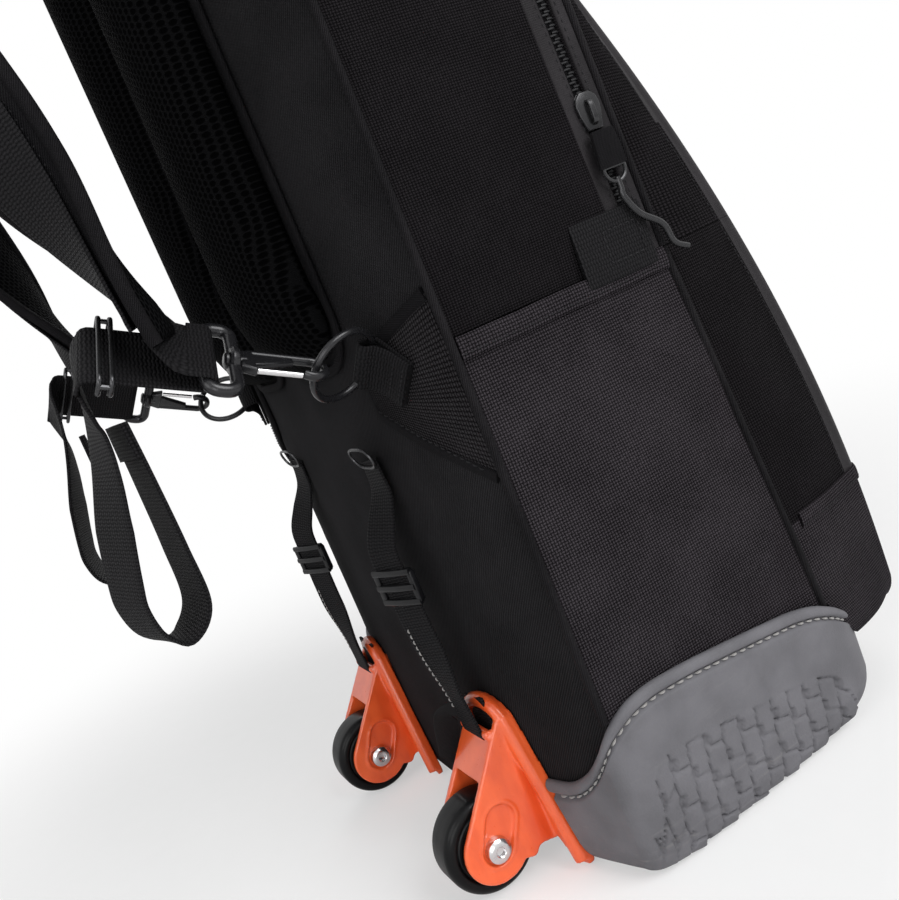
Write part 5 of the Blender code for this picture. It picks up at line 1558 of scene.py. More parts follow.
@dataclass(frozen=True)
class Truck:
    """One wheel with its orange bracket, its axle bolt and its nut."""

    side: Side
    lines: CaseLines = LINES
    wheel_x: float = 0.0935
    radius: float = 0.030
    width: float = 0.024
    lift: float = 0.001
    clearance: float = 0.0016
    skin: float = 0.0003
    cheek_inner: float = 0.0146
    cheek: float = 0.004
    boss: float = 0.021
    apex_out: float = 0.0055
    cheek_top: float = 0.099
    flange: float = 0.004
    flange_top: float = 0.110
    flange_foot: float = 0.002
    flange_arch: float = 0.018
    top_half: float = 0.0185
    foot_half: float = 0.043
    tongue: float = 0.014
    rim: float = 0.0092
    rim_deep: float = 0.0098
    slot_radius: float = 0.0096
    slot_reach: float = 0.0165
    slot_way: tuple = (-0.49, 0.87)
    slot_depth: float = 0.0018
    bolt_head: float = 0.0156
    bolt_top: float = 0.0229
    axle: float = 0.008
    mould: float = 0.0009

    @property
    def middle(self) -> float:
        """X of the wheel."""
        return self.side.value * self.wheel_x

    def face(self, inner: float) -> float:
        """Y of the flange's outer face at a distance from the wheel toward the middle."""
        return self.lines.crown(self.wheel_x - inner) + self.skin + self.flange

    @property
    def hub(self) -> tuple[float, float]:
        """Y and Z of the axle."""
        return self.face(self.width / 2) + self.clearance + self.radius, self.radius + self.lift

    def on_axle(self) -> Matrix:
        """Placing whose Z runs along the axle toward the left."""
        turn = Matrix(((0, 0, -1), (0, 1, 0), (1, 0, 0))).to_4x4()
        turn.translation = (self.middle, *self.hub)
        return turn

    def build(self) -> None:
        """Make the bracket, the wheel and its axle."""
        self.bracket()
        self.wheel()
        self.bolt()

    def cheek_outline(self) -> tuple[list, Vector, Vector]:
        """Outline of a cheek, and the two ends of its straight rear edge."""
        face, hub = self.face(0), Vector(self.hub)
        apex = Vector((face + self.apex_out, self.cheek_top))
        rise = apex - hub
        touch = math.degrees(math.atan2(rise.y, rise.x) - math.acos(self.boss / rise.length))
        boss = arc(self.hub, self.boss, touch, -130, 26)
        notch = smooth([boss[-1], (face + 0.0125, 0.0125), (face + 0.0075, 0.0165), (face - 0.001, 0.0150)], 4)[1:]
        root = face - self.flange - 0.001
        tip = arc((apex.x - 0.0035, apex.y - 0.0040), 0.0040, 100, 20, 4)
        outline = [(root, self.cheek_top), *tip, *boss, *map(tuple, notch), (root, 0.014)]
        return outline, apex, Vector(boss[0])

    def stadium(self, radius: float) -> list[tuple[float, float]]:
        """Outline of the sunk slot that runs from the bolt up the cheek."""
        hub, way = Vector(self.hub), Vector(self.slot_way).normalized()
        turn = math.degrees(math.atan2(way.y, way.x))
        end = hub + way * self.slot_reach
        return arc(end, radius, turn - 90, turn + 90, 14) + arc(hub, radius, turn + 90, turn + 270, 14)

    def flange_sheet(self) -> bpy.types.Mesh:
        """The curved flange with its round head and its two tongues."""
        heights = np.concatenate([np.linspace(self.flange_foot, self.flange_arch, 12),
                                  np.linspace(self.flange_arch, self.flange_top, 70)[1:]])
        outer_count, inner_count = 12, 22
        mid = self.cheek_inner + self.cheek
        rows = []
        for z in heights:
            edge = self.top_half + (self.foot_half - self.top_half) * (self.flange_top - z) / (
                self.flange_top - self.flange_foot)
            round_top = max(0.0, (z - (self.flange_top - 0.014)) / 0.014)
            edge *= math.sqrt(max(0.04, 1 - round_top**2))
            round_foot = max(0.0, 1 - (z - self.flange_foot) / 0.005)
            arch = max(0.0, (self.flange_arch - z) / (self.flange_arch - self.flange_foot))
            split = min(mid + (self.foot_half - self.tongue - mid) * arch + 0.003 * round_foot**2, edge * 0.94)
            edge -= 0.003 * round_foot**2
            xs = np.concatenate([np.linspace(-edge, -split, outer_count), np.linspace(-split, split, inner_count)[1:-1],
                                 np.linspace(split, edge, outer_count)])
            rows.append([(self.middle + x, self.lines.crown(self.middle + x) + self.skin, z) for x in xs])
        grid = np.array(rows)
        count, columns = grid.shape[:2]
        back, front = grid.reshape(-1, 3), grid.copy()
        front[..., 1] += self.flange
        points = np.concatenate([back, front.reshape(-1, 3)])
        total = count * columns
        kept = [(r, c) for r in range(count - 1) for c in range(columns - 1)
                if heights[r + 1] > self.flange_arch + 1e-9 or c < outer_count - 1 or c >= columns - outer_count]
        lower = [(r * columns + c, r * columns + c + 1, (r + 1) * columns + c + 1, (r + 1) * columns + c)
                 for r, c in kept]
        faces = lower + [tuple(i + total for i in quad[::-1]) for quad in lower]
        edges: dict[tuple[int, int], int] = {}
        for quad in lower:
            for a, b in zip(quad, quad[1:] + quad[:1]):
                key = (min(a, b), max(a, b))
                edges[key] = edges.get(key, 0) + 1
        faces += [(a, b, b + total, a + total) for (a, b), uses in edges.items() if uses == 1]
        used = sorted({i for face in faces for i in face})
        number = {old: new for new, old in enumerate(used)}
        return new_mesh(points[used], [tuple(number[i] for i in face) for face in faces])

    def flange_rim(self) -> list[bpy.types.Mesh]:
        """The thick rounded rim down each outer edge of the flange, joined over its head."""
        line = []
        for share in np.linspace(0, 1, 30):
            z = self.flange_foot + 0.004 + share * (self.flange_top - 0.016 - self.flange_foot)
            edge = self.top_half + (self.foot_half - self.top_half) * (self.flange_top - z) / (
                self.flange_top - self.flange_foot)
            line.append((edge - self.rim * 0.48, z))
        head = arc((0, self.flange_top - 0.016), line[-1][0], 0, 90, 8)[1:]
        squeeze = [(x, self.flange_top - 0.016 + (z - self.flange_top + 0.016) * 0.80) for x, z in head]
        half = [*line, *squeeze]
        whole = half + [(-x, z) for x, z in half[-2::-1]]
        deep = self.skin + self.rim_deep / 2
        path = np.array([(self.middle + x, self.lines.crown(self.middle + x) + deep, z) for x, z in whole])
        band = flat_section(self.rim_deep, self.rim, 3, 4)[:, ::-1] * (1, -1)
        return [swept(path, band, (0, 1, 0))]

    def bracket(self) -> None:
        """The moulded bracket: flange, cheeks with a sunk slot, rear web and webbing bar."""
        outline, apex, touch = self.cheek_outline()
        bore = arc(self.hub, self.axle / 2 + 0.0004, 0, 360, 20)[:-1]
        parts = [self.flange_sheet(), *self.flange_rim()]
        for place in (-1, 1):
            outer_layer = self.middle + place * (self.cheek_inner + self.cheek - self.slot_depth / 2)
            inner_layer = self.middle + place * (self.cheek_inner + (self.cheek - self.slot_depth) / 2)
            sides = ((outer_layer, self.slot_depth + 0.0006, self.stadium(self.slot_radius)),
                     (inner_layer, self.cheek - self.slot_depth, bore))
            for x, thick, hole in sides:
                parts.append(plate([outline, hole], thick, 0.0004, Matrix.Translation((x, 0, 0)) @ ON_SIDE, 1))
            ring = self.stadium(self.slot_radius + 0.0012)
            path = np.array([(self.middle + place * (self.cheek_inner + self.cheek + 0.0001), y, z) for y, z in ring])
            parts.append(swept(even(np.vstack([path, path[:1]]), 0.001)[:-1], round_section(0.0011, 8), closed=True))
        along = touch - apex
        inward = Vector((along.y, -along.x)).normalized() * 0.0025
        ends = [apex + along * share + inward for share in (0.16, 0.50)]
        normal = Vector((along.y, -along.x)).normalized() * 0.0016
        web = [tuple(p) for p in (ends[0] + normal, ends[1] + normal, ends[1] - normal, ends[0] - normal)]
        reach = self.cheek_inner + self.cheek / 2
        parts.append(plate([web], 2 * reach, 0.0003, Matrix.Translation((self.middle, 0, 0)) @ ON_SIDE, 1))
        bar = arc((self.face(0.0125) + 0.0085, self.cheek_top - 0.0065), 0.003, 0, 360, 16)[:-1]
        parts.append(plate([bar], 2 * reach, 0.0003, Matrix.Translation((self.middle, 0, 0)) @ ON_SIDE, 1))
        mesh = fused(parts, self.mould, 5)
        SHOP.add(f"bracket_{self.side}", mesh, BRACKET_ORANGE, Slot.ORANGE,
                 stands_for=(f"wheel_bracket_{self.side}",), round_below=70.0)

    def wheel(self) -> None:
        """The tyre on its dished hub, with the bearing's shield in the middle."""
        half, r = self.width / 2, self.radius
        body = f"wheel_{self.side}"
        place = self.on_axle()
        crest = arc((r - 0.0052, half - 0.0052), 0.0052, 80, 4, 7)
        upper = [(0.0222, half - 0.0012), (0.0230, half - 0.0004), (r - 0.0060, half), *crest, (r, 0.002)]
        tyre = upper + [(x, -z) for x, z in upper[::-1]]
        SHOP.add(f"tyre_{self.side}", turned(tyre, 72, place), TYRE_BLACK, Slot.TYRE, body,
                 (f"wheel_tyre_{self.side}",), 50.0)
        dish = [(0.0113, half - 0.0042), (0.0135, half - 0.0042), (0.0145, half - 0.0050), (0.0175, half - 0.0050),
                (0.0190, half - 0.0022), (0.0200, half - 0.0012), (0.0212, half - 0.0010), (0.0220, half - 0.0016)]
        hub = dish + [(x, -z) for x, z in dish[::-1]]
        SHOP.add(f"hub_{self.side}", turned(hub, 72, place), HUB_BLACK, Slot.HUB, body, (f"wheel_hub_{self.side}",))
        cap = half - 0.0036
        shield = [(0.0044, cap), (0.0060, cap + 0.0002), (0.0064, cap - 0.0004), (0.0098, cap - 0.0004),
                  (0.0102, cap + 0.0002), (0.0109, cap)]
        bearing = shield + [(x, -z) for x, z in shield[::-1]]
        SHOP.add(f"bearing_{self.side}", turned(bearing, 48, place), CHROME, Slot.CHROME, body,
                 (f"wheel_bearing_{self.side}",), 25.0)

    def bolt(self) -> None:
        """The socket-head bolt that sits in the sunk slot, and the nut on the other cheek."""
        place = self.on_axle()
        seat = self.cheek_inner + self.cheek - self.slot_depth - 0.0002
        head, shank, top = self.bolt_head / 2, self.axle / 2, self.bolt_top
        key, deep = 0.0029, top - 0.0026
        profile = [(0, deep - 0.0008), (key * 0.9, deep), (key, top - 0.0004), (key + 0.0005, top),
                   (0.0052, top), (0.0058, top - 0.0003), (head - 0.0014, top - 0.0006), (head - 0.0004, top - 0.0014),
                   (head, top - 0.0026), (head, seat), (shank, seat), (shank, -0.0258), (shank - 0.0012, -0.0264),
                   (0, -0.0264)]
        bolt = turned(profile, 48, place)
        SHOP.add(f"axle_bolt_head_{self.side}", bolt, CHROME, Slot.CHROME, stands_for=(f"axle_bolt_{self.side}",),
                 round_below=30.0)
        six = arc((0, 0), 0.013 / 2 / math.cos(math.radians(30)), 0, 360, 6)[:-1]
        hole = arc((0, 0), shank + 0.0004, 0, 360, 20)[:-1]
        face = self.cheek_inner + self.cheek - self.slot_depth
        high = 0.0189 + 0.0065 - face
        nut = plate([six, hole], high, 0.0006, place @ Matrix.Translation((0, 0, -face - high / 2)))
        SHOP.add(f"axle_nut_hex_{self.side}", nut, CHROME, Slot.CHROME, stands_for=(f"axle_nut_{self.side}",),
                 round_below=30.0)


# ------------------------------------------------------------------ harness, straps and small hardware


def set_frame(origin: Vector, first: Vector, third: Vector) -> Matrix:
    """A placing whose X runs along first and whose Z runs along third."""
    matrix = Matrix((first, third.cross(first), third)).transposed().to_4x4()
    matrix.translation = origin
    return matrix


def on_plane(x: float, line: Iterable[Numbers]) -> np.ndarray:
    """Points (y, z) set at one x."""
    return np.array([(x, y, z) for y, z in line], float)


def faces_across(path: np.ndarray) -> np.ndarray:
    """Up directions that keep a strap's width along X."""
    return unit(np.cross((1.0, 0.0, 0.0), np.gradient(path, axis=0)))


def leaned(path: np.ndarray, rate: float, height: float) -> np.ndarray:
    """A path shifted along X by a share of its height above a level."""
    made = path.copy()
    made[:, 0] += rate * (made[:, 2] - height)
    return made


@dataclass(frozen=True)
class BackPads:
    """Two air-mesh pads on the back, swelled as cloth, with a bound edge."""

    lines: CaseLines = LINES
    width: float = 0.094
    groove: float = 0.016
    foot: float = 0.322
    top: float = 0.950
    side_wall: float = 0.011
    dome: float = 0.017
    corner: float = 0.026
    grain: float = 0.005
    limit: float = 0.006

    def build(self) -> None:
        """Make both pads."""
        for side in Side:
            self.pad(side)

    def outline(self, side: Side, inset: float) -> np.ndarray:
        """The pad's outline on the back face, drawn in from its edge."""
        half, high = self.width / 2 - inset, (self.top - self.foot) / 2 - inset
        middle, level = side.value * (self.groove + self.width) / 2, (self.top + self.foot) / 2
        radius = self.corner - inset * 0.4
        points = []
        for sx, sz, start in ((1, 1, 0), (-1, 1, 90), (-1, -1, 180), (1, -1, 270)):
            points += arc((sx * (half - radius), sz * (high - radius)), radius, start, start + 90, 8)
        line = even(np.array([*points, points[0]]), 0.006)[:-1]
        waist = 1 - 0.045 * np.cos(np.clip(line[:, 1] / high, -1, 1) * math.pi / 2)
        return np.stack([middle + line[:, 0] * waist, level + line[:, 1]], 1)

    def pad(self, side: Side) -> None:
        """One pad, swelled, with the binding round its edge."""
        rings = []
        levels = ((0.0, 0.0004), (0.0, 0.55), (0.0012, 0.85), (0.004, 1.0))
        for inset, share in levels:
            line = self.outline(side, inset)
            rings.append([(x, self.lines.crown(x) + self.side_wall * share, z) for x, z in line])
        count = len(rings[0])
        for inset in (0.010, 0.018, 0.028, 0.038):
            line = self.outline(side, inset)
            keep = np.linspace(0, len(line), count, endpoint=False)
            closed = np.vstack([line, line[:1]])
            line = np.stack([np.interp(keep, np.arange(len(closed)), axis) for axis in closed.T], 1)
            rise = self.side_wall + self.dome * (1 - (1 - inset / 0.047) ** 2)
            rings.append([(x, self.lines.crown(x) + rise, z) for x, z in line])
        even_rings = []
        for ring in rings:
            closed = np.vstack([ring, ring[:1]])
            keep = np.linspace(0, len(closed) - 1, count + 1)
            even_rings.append(np.stack([np.interp(keep, np.arange(len(closed)), a) for a in closed.T], 1))
        grid = np.array(even_rings)
        rows, columns = grid.shape[:2]
        faces = net(rows, columns)
        faces += [tuple(range(columns - 1)), tuple((rows - 1) * columns + c for c in range(columns - 1))[::-1]]
        shape = new_mesh(grid.reshape(-1, 3), faces)
        mesh = pressed(shape, self.grain, self.limit)
        floor = np.array([corner.co for corner in mesh.vertices])
        floor[:, 1] = np.maximum(floor[:, 1], self.lines.crown(floor[:, 0]) - 0.002)
        mesh.vertices.foreach_set("co", floor.astype(np.float32).ravel())
        pad = SHOP.add(f"pad_{side}", mesh, PAD_MESH, Slot.MESH, stands_for=(f"back_pad_{side}",), round_below=80.0)
        pad.modifiers.new("finer", "SUBSURF").levels = 1
        line = self.outline(side, -0.0022)
        ring = np.array([(x, self.lines.crown(x) + 0.0016, z) for x, z in line])
        up = np.stack([np.zeros(len(ring)), np.ones(len(ring)), np.zeros(len(ring))], 1)
        SHOP.add(f"pad_binding_{side}", swept(ring, flat_section(0.0062, 0.0030), up, closed=True), BINDING, Slot.TWILL)


@dataclass(frozen=True)
class RingAndHook:
    """A corner patch with its webbing tab and ring, and the swivel snap hook drawn against the ring."""

    side: Side
    lines: CaseLines = LINES
    patch: float = 0.0025
    patch_foot: float = 0.246
    patch_top: float = 0.341
    patch_edge: float = 0.1715
    tip: float = 0.112
    tip_low: float = 0.286
    tip_high: float = 0.316
    ring_x: float = 0.132
    ring_z: float = 0.319
    stand: float = 0.0075
    ring: float = 0.020
    wire: float = 0.002
    lean: tuple = (0.45, 0.87, 0.20)
    pull_angle: float = 28.0
    throat: float = 0.0052
    bar: float = 0.004
    plate_thick: float = 0.005
    stem: float = 0.028
    base: float = 0.007
    play: float = 0.0009
    tip_angle: float = 55.0
    eye_bar: float = 0.004
    eye_window: float = 0.010
    eye_half: float = 0.020
    skin: float = 0.0003
    tab_width: float = 0.028
    tab_length: float = 0.026
    eye_turn: float = 45.0

    @property
    def pull(self) -> Vector:
        """The way that the strap draws the hook."""
        turn = math.radians(self.pull_angle)
        return Vector((0, math.cos(turn), math.sin(turn)))

    def ring_frame(self) -> Matrix:
        """Placing at the ring's seat: X across the ring, Z along the tab's width."""
        sign = self.side.value
        across = Vector((sign * self.lean[0], *self.lean[1:])).normalized()
        slant = Vector((sign, 0, 1)).normalized()
        width = (slant - across * slant.dot(across)).normalized()
        seat = Vector((sign * self.ring_x, self.lines.crown(self.ring_x) + self.stand, self.ring_z))
        return set_frame(seat, across, width)

    def hook_frame(self) -> Matrix:
        """Placing of the hook, with its throat against the far side of the ring."""
        ring = self.ring_frame()
        width = ring.col[2].to_3d()
        flat = (width - self.pull * width.dot(self.pull)).normalized()
        far = ring @ Vector((2 * self.ring, 0, 0))
        return set_frame(far + self.pull * (self.throat - self.wire - self.play), self.pull, flat)

    def build(self) -> None:
        """Make the patch, the tab, the ring and the hook."""
        self.corner_patch()
        self.tab()
        ring = self.ring_frame()
        turns = np.linspace(0, 2 * math.pi, 64, endpoint=False)
        loop = np.array([ring @ Vector((self.ring * (1 - math.cos(t)), 0, self.ring * math.sin(t))) for t in turns])
        SHOP.add(f"ring_{self.side}", swept(loop, round_section(self.wire, 12), closed=True), BLACK_METAL,
                 Slot.BLACK_METAL, f"ring_{self.side}", (f"strap_ring_{self.side}",))
        self.hook()

    def surface(self, x: float, z: float, proud: float) -> tuple[float, float, float]:
        """A point a little proud of the back face."""
        return (self.side.value * x, self.lines.crown(x) + proud, z)

    def corner_patch(self) -> None:
        """The coarse patch sewn over the corner, with a bound lower edge."""
        columns = np.linspace(0, 1, 30)
        rows = np.linspace(0, 1, 26)
        grid = []
        for v in rows:
            line = []
            for u in columns:
                x = self.tip + (self.patch_edge + 0.007 - self.tip) * u
                low = self.tip_low + (self.patch_foot - 0.003 - self.tip_low) * u
                high = self.tip_high + (self.patch_top - self.tip_high) * u
                z = low + (high - low) * v
                puff = 0.0016 * math.sin(math.pi * v) * (1 - u) * 0.6 + 0.0006 * ripple((x, 0, z), 0.02, 3)
                line.append(self.surface(x, z, self.patch + puff))
            grid.append(line)
        mesh = cloth_sheet(np.array(grid), self.patch, inward=(0, -1, 0))
        SHOP.add(f"patch_{self.side}", mesh, PATCH_CLOTH, Slot.WEAVE, stands_for=(f"corner_patch_{self.side}",))
        outline = [(self.patch_edge + 0.006, self.patch_foot - 0.003), (0.140, 0.2680), (self.tip + 0.003, self.tip_low),
                   (self.tip - 0.001, self.tip_low + 0.004), (self.tip - 0.001, self.tip_high - 0.004),
                   (self.tip + 0.003, self.tip_high), (0.140, 0.3280), (self.patch_edge + 0.006, self.patch_top)]
        edge = even(np.array([self.surface(x, z, self.patch * 0.62) for x, z in outline]), 0.004)
        binding = swept(edge, flat_section(0.0075, 0.0036), (0, 1, 0))
        SHOP.add(f"patch_binding_{self.side}", binding, BINDING, Slot.WEAVE)
        inner = [(x - 0.004 * (x > 0.15), z + (0.0055 if z < 0.30 else -0.0055)) for x, z in outline[:3]]
        seam = even(np.array([self.surface(x, z, self.patch + 0.0012) for x, z in inner]), 0.004)
        SHOP.add(f"patch_stitches_{self.side}", stitches(seam, (0, 1, 0)), BLACK_THREAD, Slot.WEAVE)

    def tab(self) -> None:
        """The folded webbing tab that holds the ring, sewn down on the patch."""
        ring = self.ring_frame()
        seat = ring.translation
        slope = -3 * self.lines.crown_rise * self.ring_x**2 / self.lines.half**3
        normal = Vector((-slope * self.side.value, 1, 0)).normalized()
        width = ring.col[2].to_3d()
        width = (width - normal * width.dot(normal)).normalized()
        along = normal.cross(width)
        if along.x * self.side.value < 0:
            along = -along
        low, high = -self.stand + 0.0042, -self.stand + 0.0064
        line = [(self.tab_length, low), (0.012, low), (0.002, low), (-0.0028, -0.0018), (-0.0037, 0.0020),
                (-0.0033, 0.0060), (-0.0005, 0.0086), (0.0026, 0.0070), (0.0040, 0.0035), (0.0070, 0.0014),
                (0.0120, high + 0.0006), (0.0180, high + 0.0001), (self.tab_length, high)]
        path = np.array([seat + along * a + normal * n for a, n in smooth([(a, n) for a, n in line], 3)])
        face = np.cross(np.broadcast_to(np.array(width), path.shape), np.gradient(path, axis=0))
        web = swept(path, flat_section(self.tab_width, 0.0020), face)
        SHOP.add(f"tab_{self.side}", web, STRAP_WEB, Slot.WEBBING, stands_for=(f"ring_tab_{self.side}",))
        half = self.tab_width / 2 - 0.003
        rows = []
        for reach in (0.0165, 0.0235):
            ends = [seat + along * reach + normal * (high + 0.0012) + width * w for w in (-half, half)]
            rows.append(stitches(even(np.array(ends), 0.002), normal, 0.0030, 0.0022))
        SHOP.add(f"tab_stitches_{self.side}", joined(rows), BLACK_THREAD, Slot.WEBBING)

    def hook(self) -> None:
        """The snap hook, its gate, and the webbing eye on its swivel."""
        place, side = self.hook_frame(), self.side
        body = f"hook_{side}"
        reach = self.throat + self.bar
        base = self.stem + self.base
        bend = [(self.throat + self.bar / 2) * np.array((math.cos(t), math.sin(t)))
                for t in np.radians(np.linspace(self.tip_angle, 270, 24))]
        shank = [(x, -(self.throat + self.bar / 2)) for x in np.linspace(0.002, self.stem + 0.001, 6)]
        line = np.array([place @ Vector((*p, 0)) for p in [*map(tuple, bend), *shank]])
        up = np.broadcast_to(np.array(place.col[2].to_3d()), line.shape)
        bow = swept(line, flat_section(self.bar, self.plate_thick * 0.74, 3, 3)[:, ::1] * (1, 1.3), up)
        block = plate([[(self.stem, -reach), (base, -reach * 0.72), (base, reach * 0.72), (self.stem, reach)]],
                      self.plate_thick, 0.0012, place)
        rise = self.throat * 0.5
        spring = plate([[(0.0085, -reach + 0.003), (self.stem + 0.001, -reach + 0.003), (self.stem + 0.001, rise * 1.5),
                         (self.stem - 0.004, rise), (0.0085, -rise)]], self.plate_thick * 0.7, 0.0008, place)
        start = base + 2 * self.skin
        along = Matrix.Rotation(math.radians(90), 4, "Y")
        head = start + self.eye_bar + 2 * self.skin
        pin = turned([(0, base - 0.003), (0.003, base - 0.003), (0.003, head), (0.0042, head + 0.0004),
                      (0.0042, head + 0.0014), (0.0030, head + 0.0022), (0, head + 0.0022)], 24, place @ along)
        SHOP.add(f"hook_bow_{side}", joined([bow, block, spring, pin]), BLACK_METAL, Slot.BLACK_METAL, body,
                 (f"snap_hook_{side}",), 50.0)
        level = self.throat + self.bar / 2
        first = reach * math.cos(math.radians(self.tip_angle)) + 2 * self.skin
        gate = np.array([place @ Vector((x, level, 0)) for x in np.linspace(first, self.stem - 2 * self.skin, 8)])
        SHOP.add(f"gate_{side}", swept(gate, flat_section(0.003, 0.003, 3, 2), place.col[2].to_3d()), CHROME,
                 Slot.CHROME, f"gate_{side}", (f"hook_gate_{side}",))
        flat = set_frame(place.translation, self.pull, self.pull.cross(self.bar_way))
        near, far = start + self.eye_bar / 2, start + self.eye_bar * 1.5 + self.eye_window
        wide, bend_radius = self.eye_half + self.eye_bar / 2, 0.0055
        corners = []
        for cx, cy, turn in ((far - bend_radius, wide - bend_radius, 0), (near + bend_radius, wide - bend_radius, 90),
                             (near + bend_radius, bend_radius - wide, 180), (far - bend_radius, bend_radius - wide, 270)):
            corners += arc((cx, cy), bend_radius, turn, turn + 90, 6)
        loop = even(np.array([flat @ Vector((x, y, 0)) for x, y in [*corners, corners[0]]]), 0.0016)[:-1]
        ring = swept(loop, round_section(self.eye_bar / 2 + 0.0013, 14), closed=True)
        boss = turned([(0.0035, start - 0.0002), (0.0062, start), (0.0070, start + 0.0010), (0.0070, start + 0.0032),
                       (0.0058, start + 0.0044), (0.0035, start + 0.0044)], 28, place @ along)
        SHOP.add(f"eye_{side}", joined([ring, boss]), BLACK_METAL, Slot.BLACK_METAL, stands_for=(f"hook_eye_{side}",))

    @property
    def bar_way(self) -> Vector:
        """Direction of the eye's bar, turned about the pull so that its outer end hangs lower."""
        turn = math.radians(self.eye_turn)
        drop = Vector((0, self.pull.z, -self.pull.y))
        return Vector((self.side.value * math.cos(turn), 0, 0)) + drop * math.sin(turn)

    def strap_bar(self) -> Vector:
        """Middle of the eye's bar that the strap turns round."""
        start = self.stem + self.base + 2 * self.skin
        return self.hook_frame() @ Vector((start + self.eye_bar * 1.5 + self.eye_window, 0, 0))


